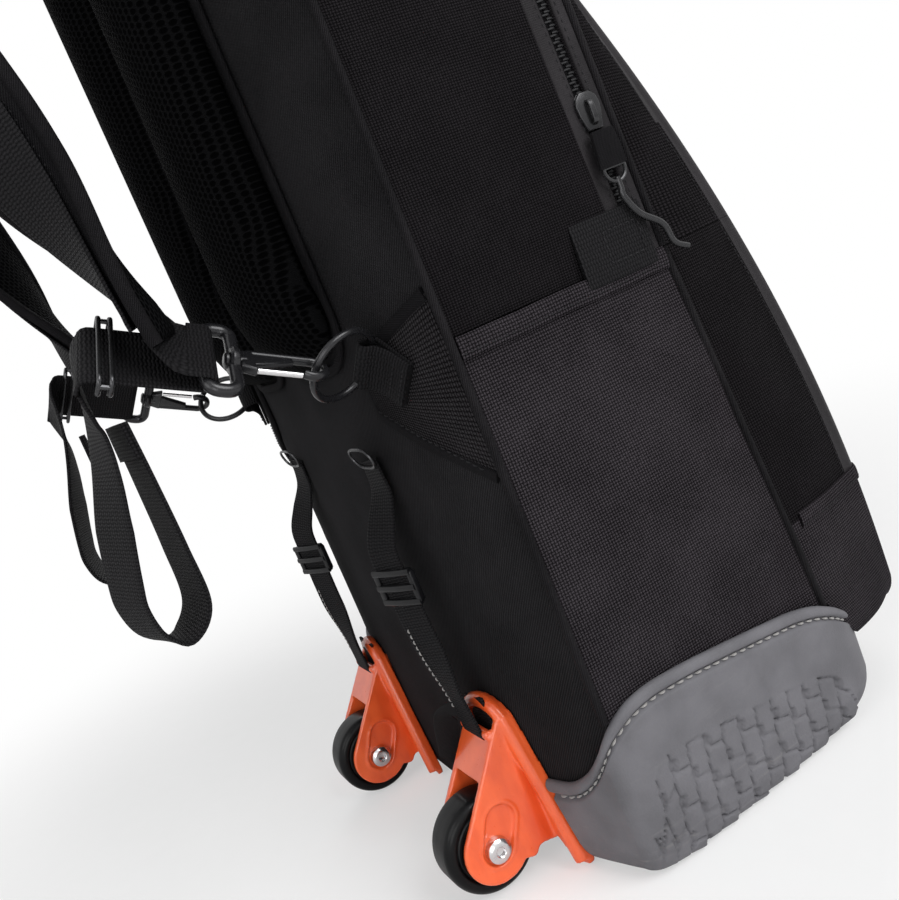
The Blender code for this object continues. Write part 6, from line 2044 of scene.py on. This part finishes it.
@dataclass(frozen=True)
class ShoulderStrap:
    """A padded shoulder strap with its webbing, glide and hanging tail."""

    side: Side
    hook: RingAndHook
    x: float = 0.150
    web: float = 0.038
    web_thick: float = 0.002
    pad: float = 0.055
    pad_thick: float = 0.014
    foot: float = 0.408
    foot_y: float = 0.146
    turn: float = 60.0
    top: float = 1.045
    rear: float = 0.1815
    wrap: float = 0.0045
    leg_drop: float = 0.005
    leg_run: float = 0.010
    run: float = 0.049
    glide_share: float = 0.878
    tail_foot: float = 0.234
    tail_x: float = 0.126
    tail_bend: float = 0.0045
    tail_slip: float = 0.009
    tail_turn: float = 20.0
    tail_end_turn: float = 5.0
    sleeve: float = 0.88
    bare: float = 0.72
    ease_low: float = 0.040
    ease_high: float = 0.075
    slope: float = 0.06
    lead: float = 0.120
    bends: tuple = ((0.154, 0.09), (0.159, 0.23), (0.160, 0.38), (0.145, 0.57), (0.108, 0.75))
    tail: tuple = ((0.0205, 0.80), (0.0155, 0.62), (0.0085, 0.45), (0.002, 0.26), (0.0, 0.16), (0.0035, 0.054),
                   (0.0145, 0.0), (0.0275, 0.087), (0.0295, 0.30), (0.0300, 0.55), (0.0300, 0.76))

    def turned_way(self, degrees: float) -> np.ndarray:
        """Width direction of a length that is turned about the vertical."""
        turn = math.radians(degrees)
        return np.array((self.side.value * math.cos(turn), -math.sin(turn), 0))

    @property
    def rise(self) -> np.ndarray:
        """Direction from the eye's bar to the webbing that lies over it."""
        return np.cross(self.hook.pull, self.hook.bar_way) * -self.side.value

    def leg(self) -> tuple[np.ndarray, np.ndarray]:
        """Points and width directions of the length from the pad's foot down to the eye."""
        top = np.array((self.side.value * self.x, self.foot_y, self.foot - self.leg_drop))
        low = np.array(self.hook.strap_bar()) + self.rise * self.wrap + np.array(self.hook.pull) * self.leg_run
        path = smooth([top + (0, 0, self.leg_drop), top, top + (low - top) * 0.3, top + (low - top) * 0.7, low], 10)
        share = np.linspace(0, 1, len(path))[:, None]
        first = self.turned_way(self.turn)
        return path, first + (np.array(self.hook.bar_way) - first) * share

    def build(self) -> None:
        """Make the strap from its root down to the hook's eye, the glide and the tail."""
        self.webbing()
        self.padding()
        self.glide()

    def strip(self, name: str, path: np.ndarray, ways: np.ndarray, stands_for: Sequence[str] = ()) -> None:
        """One length of webbing whose width follows the ways."""
        ups = unit(np.cross(ways, np.gradient(path, axis=0)))
        web = swept(path, flat_section(self.web, self.web_thick), ups)
        SHOP.add(f"{name}_{self.side}", web, STRAP_WEB, Slot.WEBBING, stands_for=stands_for)

    def webbing(self) -> None:
        """The webbing through the eye and the glide, with its hanging tail and sewn end."""
        sign, pull, rise = self.side.value, np.array(self.hook.pull), self.rise
        way = np.array(self.hook.bar_way)
        bar = np.array(self.hook.strap_bar())
        under = bar - rise * self.wrap
        leg, leg_ways = (part[round(len(part) * self.bare):] for part in self.leg())
        turn = [bar + (pull * a + rise * b) * self.wrap for a, b in arc((0, 0), 1, 90, 270, 16)]
        end = under + pull * self.run
        bend = [end + (rise * (a - 1) + pull * b) * self.tail_bend for a, b in arc((0, 0), 1, 0, 90, 10)]
        fall = end[2] - self.tail_foot
        hang = [(sign * self.tail_x, self.rear - inset, self.tail_foot + share * fall) for inset, share in self.tail]
        tail = smooth([bend[-1], bend[-1] - rise * self.tail_slip, *hang], 10)
        path = np.vstack([leg, turn, bend, tail[1:]])
        turning = len(tail) // 3
        share = np.minimum(np.arange(len(tail) - 1) / turning, 1)[:, None]
        loose = np.array([self.turned_way(angle) for angle in
                          np.interp(np.arange(len(tail) - 1), (turning, len(tail) - 2), (self.tail_turn, self.tail_end_turn))])
        ways = np.vstack([leg_ways, np.broadcast_to(way, (len(turn) + len(bend), 3)), way + (loose - way) * share])
        along = run_length(path)
        places = np.linspace(0, along[-1], round(along[-1] / 0.0022))
        line, lay = (np.stack([np.interp(places, along, axis) for axis in field.T], 1) for field in (path, ways))
        self.strip("strap_web", line, lay, (f"strap_webbing_{self.side}",))
        ups = unit(np.cross(lay, np.gradient(line, axis=0)))
        self.strip("strap_end_fold", (line + ups * self.web_thick * 0.9)[-9:], lay[-9:])

    def padding(self) -> None:
        """The padded length: cloth outside, mesh inside, bound along both edges, with the lead sewn on."""
        sign, high = self.side.value, self.top - self.foot
        start = self.foot + self.pad_thick / 2
        bow = [(self.foot_y, self.foot), (self.foot_y, start)]
        bow += [(y, self.foot + up * high) for y, up in self.bends]
        bow += [(LINES.crown_rise + 0.050, self.top - 0.075), (LINES.crown_rise - 0.006, self.top)]
        route = even(smooth(bow, 10), 0.005)
        path = np.array([(sign * (self.x - self.slope * (max(z, start) - start)), y, z) for y, z in route])
        first, last = self.turned_way(self.turn), self.turned_way(0)
        ways = first + (last - first) * np.linspace(0, 1, len(path))[:, None]
        leg, leg_ways = (part[1:round(len(part) * self.sleeve)][::-1] for part in self.leg())
        foot = run_length(leg)[-1]
        path, ways = np.vstack([leg, path]), np.vstack([leg_ways, ways])
        travel = run_length(path)
        stops = np.array([s for s in np.arange(0, travel[-1], 0.020)
                          if not foot - self.ease_low < s < foot + self.ease_high] + [travel[-1]])
        marks, sides = (np.stack([np.interp(stops, travel, axis) for axis in field.T], 1) for field in (path, ways))
        path, ways = smooth(marks, 8), smooth(sides, 8)
        places = np.linspace(0, 1, round(run_length(path)[-1] / 0.004)) * run_length(path)[-1]
        path, ways = (np.stack([np.interp(places, run_length(path), axis) for axis in field.T], 1)
                      for field in (path, ways))
        ups = unit(np.cross(ways, np.gradient(path, axis=0)))
        across, out = frames(path, ups, False)
        out = out * np.sign(out[len(out) // 3, 1])
        along = run_length(path)
        ends = np.minimum(1, np.minimum(along, along[-1] - along + 0.03) / 0.016)
        wide = 0.78 + 0.22 * ease(-0.004, 0.085, along)
        swell = np.stack([wide, 0.45 + 0.55 * np.sqrt(ends)], 1)
        mesh = swept(path, flat_section(self.pad - 0.004, 0.0050, 3, 14, 0.0042), ups, scale=swell)
        for patch in mesh.polygons:
            near = np.argmin(np.abs(path[:, 2] - patch.center.z))
            patch.material_index = int(np.dot(patch.normal, out[near]) < -0.15)
        pad = SHOP.add(f"strap_pad_{self.side}", mesh, (STRAP_CLOTH, STRAP_MESH), Slot.MESH,
                       stands_for=(f"shoulder_strap_{self.side}",), round_below=70.0)
        bindings, seams = [], []
        half = (self.pad - 0.004) / 2 * wide
        for edge in (-1, 1):
            rim = path + across * (edge * (half - 0.0008))[:, None]
            bindings.append(swept(rim, flat_section(0.0075, 0.0066), ups))
            seam = path + across * (edge * (half - 0.0070))[:, None] + out * (0.0034 * swell[:, 1:])
            seams.append(stitches(seam, out))
        SHOP.add(f"strap_binding_{self.side}", joined(bindings), BINDING, Slot.TWILL)
        SHOP.add(f"strap_stitches_{self.side}", joined(seams), BLACK_THREAD, Slot.TWILL)
        sewn = (along > 0.012) & (along < self.lead)
        lift = (0.0022 + 0.0042 * swell[:, 1])[:, None]
        self.strip("strap_lead", (path + out * lift)[sewn], ways[sewn])

    def glide(self) -> None:
        """The wire tri-glide that the webbing runs through: two wire loops joined at their ends."""
        way, pull = self.hook.bar_way, self.hook.pull
        rise = pull.cross(way) * -self.side.value
        place = self.hook.strap_bar() - rise * self.wrap + pull * (self.run * self.glide_share)
        wide, high, bend, wire, apart = self.web / 2 + 0.0042, 0.0046, 0.0030, 0.0012, 0.0026
        corners = []
        for cx, cz, start in ((wide - bend, high - bend, 0), (bend - wide, high - bend, 90),
                              (bend - wide, bend - high, 180), (wide - bend, bend - high, 270)):
            corners += arc((cx, cz), bend, start, start + 90, 5)
        wires = []
        for shift in (-apart, apart):
            loop = np.array([place + way * a + rise * b + pull * shift for a, b in [*corners, corners[0]]])
            wires.append(swept(even(loop, 0.0014)[:-1], round_section(wire, 10), closed=True))
        for edge in (-1, 1):
            ends = [place + way * (edge * wide) + rise * (0.3 * high) + pull * s for s in np.linspace(-apart, apart, 5)]
            wires.append(swept(np.array(ends), round_section(wire, 8)))
        SHOP.add(f"glide_{self.side}", joined(wires), WIRE_METAL, Slot.BLACK_METAL, f"glide_{self.side}",
                 (f"tri_glide_{self.side}",))


@dataclass(frozen=True)
class WheelTie:
    """The webbing that holds a bracket up, its ladder-lock buckle and its bare label."""

    side: Side
    truck: Truck
    width: float = 0.025
    thick: float = 0.002
    top: float = 0.264
    bow: float = 0.016
    lean: float = 0.100
    bar_z: float = 0.0925
    bar_radius: float = 0.003
    buckle_z: float = 0.190
    buckle_length: float = 0.022
    turn: float = 20.0

    def build(self) -> None:
        """Make the strap, the buckle, the stitches and the label."""
        lines, truck = LINES, self.truck
        wrap = self.bar_radius + self.thick / 2 + 0.0006
        bar_y = truck.face(self.width / 2) + wrap + self.thick / 2 + 0.0006
        inner = truck.wheel_x - self.lean * (self.top - self.bar_z) - self.width / 2
        root = lines.crown(inner) + 0.0003 + self.thick / 2
        crest = root + self.bow
        line = [(root, self.top), (root, self.top - 0.012), (root + 0.0015, self.top - 0.022),
                (root + 0.0088, self.top - 0.036), (crest, self.buckle_z + 0.022), (crest, self.buckle_z),
                (crest, self.buckle_z - 0.022), (crest - 0.0005, 0.150), (bar_y + wrap + 0.002, self.bar_z + 0.036),
                (bar_y + wrap, self.bar_z + 0.006)]
        turn = arc((bar_y, self.bar_z), wrap, 0, -180, 10)
        back = [(bar_y - wrap, self.bar_z + 0.009), (bar_y - wrap, self.bar_z + 0.018)]
        route = np.array([*map(tuple, smooth(line, 6)), *turn, *back])
        path = leaned(even(on_plane(truck.middle, route), 0.002), -self.side.value * self.lean, self.bar_z)
        ups = self.faces(path)
        web = swept(path, flat_section(self.width, self.thick), ups)
        SHOP.add(f"tie_web_{self.side}", web, TIE_WEB, Slot.WEBBING, stands_for=(f"wheel_strap_{self.side}",))
        high = path[:, 2]
        outer = (np.arange(len(path)) < np.argmin(high)) & (high < 0.165) & (high > self.bar_z + 0.012)
        across, out = frames(path, ups, False)
        edge = path + across * (self.width * 0.34) + out * (self.thick / 2 + 0.0003)
        thread = stitches(edge[outer], out[outer], 0.0038, 0.0029, 0.00050)
        SHOP.add(f"tie_stitches_{self.side}", thread, PALE_THREAD, Slot.WEBBING)
        crest_x = truck.middle - self.side.value * self.lean * (self.buckle_z - self.bar_z)
        self.buckle(crest_x, crest)
        self.loop(truck.middle - self.side.value * self.lean * (self.top - self.bar_z), root)
        if self.side is Side.LEFT:
            self.label(bar_y + wrap)

    def faces(self, path: np.ndarray) -> np.ndarray:
        """Outward directions of the strap, which turns a little to the side between its ends."""
        loose = ease(self.bar_z + 0.020, self.bar_z + 0.060, path[:, 2]) * ease(self.top - 0.008, self.top - 0.045, path[:, 2])
        turn = -np.radians(self.turn) * loose
        ways = np.stack([np.cos(turn), -np.sin(turn), np.zeros(len(path))], 1)
        return unit(np.cross(ways, np.gradient(path, axis=0)))

    def buckle(self, x: float, y: float) -> None:
        """The moulded ladder-lock: a frame with three bars and a raised lip."""
        turn = Matrix.Rotation(math.radians(self.turn), 4, "Z")
        place = Matrix.Translation((x, y, self.buckle_z)) @ turn @ Matrix.Rotation(math.radians(90), 4, "X")
        wide, high = self.width / 2 + 0.0045, self.buckle_length / 2
        edge = [(-wide, -high * 0.8), (-wide + 0.002, -high), (wide - 0.002, -high), (wide, -high * 0.8),
                (wide, high * 0.8), (wide - 0.002, high), (-wide + 0.002, high), (-wide, high * 0.8)]
        reach = self.width / 2 + 0.0006
        upper = [(-reach, 0.0018), (reach, 0.0018), (reach, high - 0.0032), (-reach, high - 0.0032)]
        lower = [(-reach, 0.0032 - high), (reach, 0.0032 - high), (reach, -0.0018), (-reach, -0.0018)]
        rim = plate([edge, upper, lower], 0.0046, 0.0010, place @ Matrix.Translation((0, 0, 0.0)))
        lips = []
        for level, out in ((high - 0.0016, 0.0024), (0.0, 0.0030), (0.0016 - high, 0.0024)):
            bar = np.array([place @ Vector((s * wide * 0.96, level, -out * (1 - 0.35 * s * s))) for s in
                            np.linspace(-1, 1, 14)])
            lips.append(swept(bar, flat_section(0.0040, 0.0026, 3, 3), place.col[2].to_3d()))
        SHOP.add(f"buckle_{self.side}", joined([rim, *lips]), BUCKLE_BLACK, Slot.MOULDED, f"buckle_{self.side}",
                 (f"strap_buckle_{self.side}",), 50.0)

    def loop(self, x: float, y: float) -> None:
        """The wire loop that the strap's upper end is sewn round."""
        half = self.width / 2 + 0.0030
        turns = np.linspace(0, 2 * math.pi, 40, endpoint=False)
        ring = np.array([(x + half * np.sign(math.cos(t)) * abs(math.cos(t)) ** 0.55, y + 0.0034 + 0.0018 * math.sin(t),
                          self.top + 0.0022 + 0.0066 * math.sin(t)) for t in turns])
        SHOP.add(f"tie_loop_{self.side}", swept(ring, round_section(0.0009, 8), closed=True), WIRE_METAL,
                 Slot.BLACK_METAL)

    def label(self, y: float) -> None:
        """A small bare cloth label sewn into the strap's lower end."""
        first = smooth([(0.084, y, 0.1105), (0.076, y + 0.008, 0.1085), (0.069, 0.0535, 0.1000), (0.0665, 0.0580, 0.0770)], 5)
        second = smooth([(0.084, y, 0.1010), (0.077, y + 0.003, 0.1000), (0.069, 0.0395, 0.0885), (0.067, 0.0490, 0.0650)], 5)
        rows = [(first + (second - first) * share) * (self.side.value, 1, 1) for share in np.linspace(0, 1, 9)]
        mesh = cloth_sheet(np.array(rows), 0.0007)
        SHOP.add(f"bare_label_{self.side}", mesh, LABEL_CLOTH, Slot.TWILL)


@dataclass(frozen=True)
class ZipPull:
    """A zip slider with its bridge, fabric pull, wire D and bent wire hook."""

    side: Side
    lines: CaseLines = LINES
    slider_z: float = 0.395
    length: float = 0.020
    width: float = 0.0155
    stand: float = 0.0003
    pull_x: float = 0.1862
    pull_length: float = 0.0300
    pull_width: float = 0.0175
    wire: float = 0.0016
    hook_drop: float = 0.044
    hook_swing: float = 0.030

    def build(self) -> None:
        """Make the slider and what hangs on it."""
        sign, y = self.side.value, self.lines.zip(self.slider_z)
        seat = self.lines.half + self.stand
        half, foot = self.width / 2, self.slider_z - self.length / 2
        shape = ((-0.62, 0.0), (0.62, 0.0), (0.92, 0.40), (1.0, 0.66), (0.86, 0.86), (0.42, 1.0), (-0.42, 1.0),
                 (-0.86, 0.86), (-1.0, 0.66), (-0.92, 0.40))
        outline = [(y + half * a, foot + self.length * b) for a, b in shape]
        wing = plate([outline], 0.0022, 0.0008, Matrix.Translation((sign * (seat + 0.0026), 0, 0)) @ ON_SIDE)
        under = plate([outline], 0.0012, 0.0004, Matrix.Translation((sign * (seat + 0.0007), 0, 0)) @ ON_SIDE)
        post = [(sign * (seat + 0.0028), y, foot + 0.0155), (sign * (seat + 0.0056), y, foot + 0.0140),
                (sign * (seat + 0.0062), y, foot + 0.0090), (sign * (seat + 0.0056), y, foot + 0.0040),
                (sign * (seat + 0.0028), y, foot + 0.0026)]
        bridge = swept(smooth(post, 5), flat_section(0.0034, 0.0014), np.array((sign, 0, 0)) + np.zeros((21, 3)))
        SHOP.add(f"slider_{self.side}", joined([wing, under, bridge]), HOOK_WIRE, Slot.BLACK_METAL,
                 f"zip_slider_{self.side}", (f"zip_slider_{self.side}",), 50.0)
        top = foot - 0.0008
        self.tail(sign, y, top)

    def tail(self, sign: int, y: float, top: float) -> None:
        """The folded fabric pull, the wire D under it and the long bent hook."""
        low, x = top - self.pull_length, sign * self.pull_x
        line = [(x, y, top - 0.0006), (x + sign * 0.0007, y, top - 0.006), (x + sign * 0.0009, y, top - 0.013),
                (x + sign * 0.0002, y, top - 0.0200)]
        fabric = smooth(line, 6)
        widths = np.stack([np.linspace(0.86, 1.06, len(fabric)), np.linspace(1.25, 0.85, len(fabric))], 1)
        pull = swept(fabric, flat_section(self.pull_width, 0.0024, 3, 6, 0.0003), (sign, 0, 0), scale=widths)
        body = f"zip_pull_{self.side}"
        SHOP.add(f"fabric_pull_{self.side}", pull, BINDING, Slot.WEBBING, body, (f"zip_pull_{self.side}",))
        half, level = self.pull_width / 2 - 0.0016, top - 0.0200
        dee = [(half * s, level) for s in np.linspace(-1, 1, 6)] + arc((0, level - 0.001), half, 0, -180, 12)[1:-1]
        ring = np.array([(x, y + a, b) for a, b in [*dee, dee[0]]])
        frame_wire = swept(even(ring, 0.0010)[:-1], round_section(0.0011, 8), closed=True)
        bends = ((0.0, -0.10), (0.0, 0.04), (0.0, 0.16), (0.2, 0.40), (0.6, 0.62), (0.72, 0.88), (1.0, 1.0))
        route = smooth([(x, y - swing * self.hook_swing, low - 0.0003 - drop * self.hook_drop)
                        for swing, drop in bends], 8)
        thick = 1 + 0.25 * np.sin(np.linspace(0, math.pi, len(route)))
        bent = swept(route, round_section(self.wire, 10), scale=thick)
        SHOP.add(f"wire_hook_{self.side}", joined([frame_wire, bent]), HOOK_WIRE, Slot.BLACK_METAL, body,
                 (f"zip_hook_{self.side}",))


@dataclass(frozen=True)
class GrabHandle:
    """The webbing handle on the top, with a padded grip wrapped round its middle."""

    lines: CaseLines = LINES
    span: float = 0.124
    foot: float = 0.022
    rise: float = 0.034
    width: float = 0.030
    thick: float = 0.004
    bends: tuple = ((-1.0, 0.0), (-0.85, 0.55), (-0.45, 0.95), (0.0, 1.0), (0.45, 0.95), (0.85, 0.55), (1.0, 0.0))

    def build(self) -> None:
        """Make the webbing, the grip and the sewn feet."""
        flat = self.lines.height + 0.0003 + self.thick / 2
        lift = self.rise - self.thick - 0.0003
        half, middle = self.span / 2, (self.lines.zip(self.lines.height) - 0.0063) / 2
        bow = smooth([(half * s, flat + lift * u) for s, u in self.bends], 8)
        line = [(-half - self.foot, flat), (-half - 0.008, flat), *map(tuple, bow), (half + 0.008, flat),
                (half + self.foot, flat)]
        path = even(np.array([(x, middle, z) for x, z in line]), 0.002)
        ups = unit(np.cross(np.gradient(path, axis=0), (0.0, 1.0, 0.0)))
        web = swept(path, flat_section(self.width, self.thick * 0.8), ups)
        SHOP.add("handle_web", web, STRAP_WEB, Slot.WEBBING, stands_for=("grab_handle",))
        grip = path[np.abs(path[:, 0]) < 0.040]
        turn = ups[np.abs(path[:, 0]) < 0.040]
        ends = np.minimum(1, np.minimum(np.arange(len(grip)), np.arange(len(grip))[::-1]) / 4)
        wrap = swept(grip, flat_section(self.width + 0.003, 0.0062, 3, 8, 0.0010), turn, scale=0.8 + 0.2 * np.sqrt(ends))
        piece = SHOP.add("handle_grip", wrap, STRAP_CLOTH, Slot.WEBBING)
        for side in Side:
            edge = side.value * half
            out = side.value * (half + self.foot - 0.003)
            w = self.width / 2 - 0.004
            box = np.array([(edge + side.value * 0.008, -w, 0), (out, -w, 0), (out, w, 0), (edge + side.value * 0.008, w, 0),
                            (edge + side.value * 0.008, -w, 0)]) + (0, middle, flat + self.thick * 0.4 + 0.0002)
            SHOP.add(f"handle_stitches_{side}", stitches(even(box, 0.002), (0, 0, 1)), BLACK_THREAD, Slot.WEBBING)


# ------------------------------------------------------------------ stage


@dataclass(frozen=True)
class Stage:
    """The pale floor, the soft lights and the camera at the photograph's angle."""

    eye: tuple = (-0.5828, 0.2290, 0.3437)
    right: tuple = (-0.43097, -0.82006, -0.37653)
    down: tuple = (0.00827, 0.41366, -0.91039)
    forward: tuple = (0.90233, -0.39546, -0.17149)
    focal: float = 920.3
    frame_width: float = 899.0
    sensor: float = 36.0
    floor_size: float = 30.0
    world_light: float = 0.36
    backdrop: float = 1.0
    lamps: tuple = (((-2.0, -0.9, 1.9), 1.8, 54.0), ((-1.2, 2.2, 1.7), 1.8, 18.0), ((1.9, -1.0, 1.6), 1.6, 14.0),
                    ((-1.6, 0.9, 0.45), 0.9, 6.0))
    aim: tuple = (0.0, 0.0, 0.35)

    def build(self) -> None:
        """Set up everything that is not part of the case."""
        self.camera()
        self.lights()
        self.world()
        self.floor()
        bpy.context.scene.view_settings.view_transform = "Standard"

    def camera(self) -> None:
        """The camera, with its lens set for a picture 899 wide."""
        data = bpy.data.cameras.new("view")
        data.sensor_fit, data.sensor_width = "HORIZONTAL", self.sensor
        data.lens = self.focal / self.frame_width * self.sensor
        data.clip_start, data.clip_end = 0.01, 100
        camera = bpy.data.objects.new("view", data)
        turn = Matrix((Vector(self.right), -Vector(self.down), -Vector(self.forward))).transposed().to_4x4()
        turn.translation = self.eye
        camera.matrix_world = turn
        bpy.context.scene.collection.objects.link(camera)
        bpy.context.scene.camera = camera

    def lights(self) -> None:
        """Large soft lamps: a key on the near side, a fill behind and one on the far side."""
        for number, (place, size, power) in enumerate(self.lamps):
            data = bpy.data.lights.new(f"soft_{number}", "AREA")
            data.shape, data.size, data.energy = "DISK", size, power
            lamp = bpy.data.objects.new(f"soft_{number}", data)
            lamp.location = place
            lamp.rotation_euler = (Vector(self.aim) - Vector(place)).to_track_quat("-Z", "Y").to_euler()
            bpy.context.scene.collection.objects.link(lamp)

    def world(self) -> None:
        """Even light all round, seen as plain white."""
        world = bpy.data.worlds.new("studio")
        bpy.context.scene.world = world
        world.use_nodes = True
        tree = world.node_tree
        tree.nodes.clear()
        rays = tree.nodes.new("ShaderNodeLightPath")
        seen = rays.outputs["Is Camera Ray"]
        for name in ("Is Glossy Ray", "Is Transmission Ray"):
            add = tree.nodes.new("ShaderNodeMath")
            add.operation = "MAXIMUM"
            tree.links.new(seen, add.inputs[0])
            tree.links.new(rays.outputs[name], add.inputs[1])
            seen = add.outputs[0]
        shades = []
        for strength in (self.world_light, self.backdrop):
            shade = tree.nodes.new("ShaderNodeBackground")
            shade.inputs["Strength"].default_value = strength
            shade.inputs["Color"].default_value = (1, 1, 1, 1)
            shades.append(shade)
        mix = tree.nodes.new("ShaderNodeMixShader")
        tree.links.new(seen, mix.inputs[0])
        for number, shade in enumerate(shades):
            tree.links.new(shade.outputs[0], mix.inputs[number + 1])
        output = tree.nodes.new("ShaderNodeOutputWorld")
        tree.links.new(mix.outputs[0], output.inputs["Surface"])

    def floor(self) -> None:
        """A pale floor that fades into the white background away from the case."""
        half = self.floor_size / 2
        mesh = bpy.data.meshes.new("floor")
        mesh.from_pydata([(-half, -half, 0), (half, -half, 0), (half, half, 0), (-half, half, 0)], [], [(0, 1, 2, 3)])
        floor = bpy.data.objects.new("floor", mesh)
        floor.location.z = -0.0004
        bpy.context.scene.collection.objects.link(floor)
        graph = Graph("pale_floor")
        grain = graph.cloud(0.02, 3)
        graph.fixed(Specular_IOR_Level=0.1, Roughness=0.9)
        graph.paint(graph.tint(grain, (0.90, 0.90, 0.90), (0.93, 0.93, 0.93)))
        far = graph.node("ShaderNodeVectorMath", {"operation": "LENGTH"}, {0: graph.place()})
        fade = Value(graph, far.outputs["Value"]).ease(0.35, 1.0) * 0.55 + 0.45
        rays = graph.node("ShaderNodeLightPath")
        seen = Value(graph, rays.outputs["Is Camera Ray"])
        glow = graph.node("ShaderNodeEmission", sockets={"Color": (1, 1, 1, 1), "Strength": self.backdrop})
        mix = graph.node("ShaderNodeMixShader", sockets={0: fade * seen, 1: graph.shader.outputs[0],
                                                         2: glow.outputs[0]})
        graph.tree.links.new(mix.outputs[0], graph.tree.nodes["Material Output"].inputs["Surface"])
        mesh.materials.append(graph.material)


def main() -> None:
    """Build the case piece by piece."""
    logging.basicConfig(level=logging.INFO, format="%(message)s")
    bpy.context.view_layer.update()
    Stage().build()
    Shell().build()
    Lid().build()
    Zip().build()
    Pocket().build()
    Boot().build()
    BackPads().build()
    GrabHandle().build()
    for side in Side:
        truck = Truck(side)
        truck.build()
        WheelTie(side, truck).build()
        hook = RingAndHook(side)
        hook.build()
        ShoulderStrap(side, hook).build()
        ZipPull(side).build()
    bpy.context.view_layer.update()


if __name__ == "__main__":
    main()
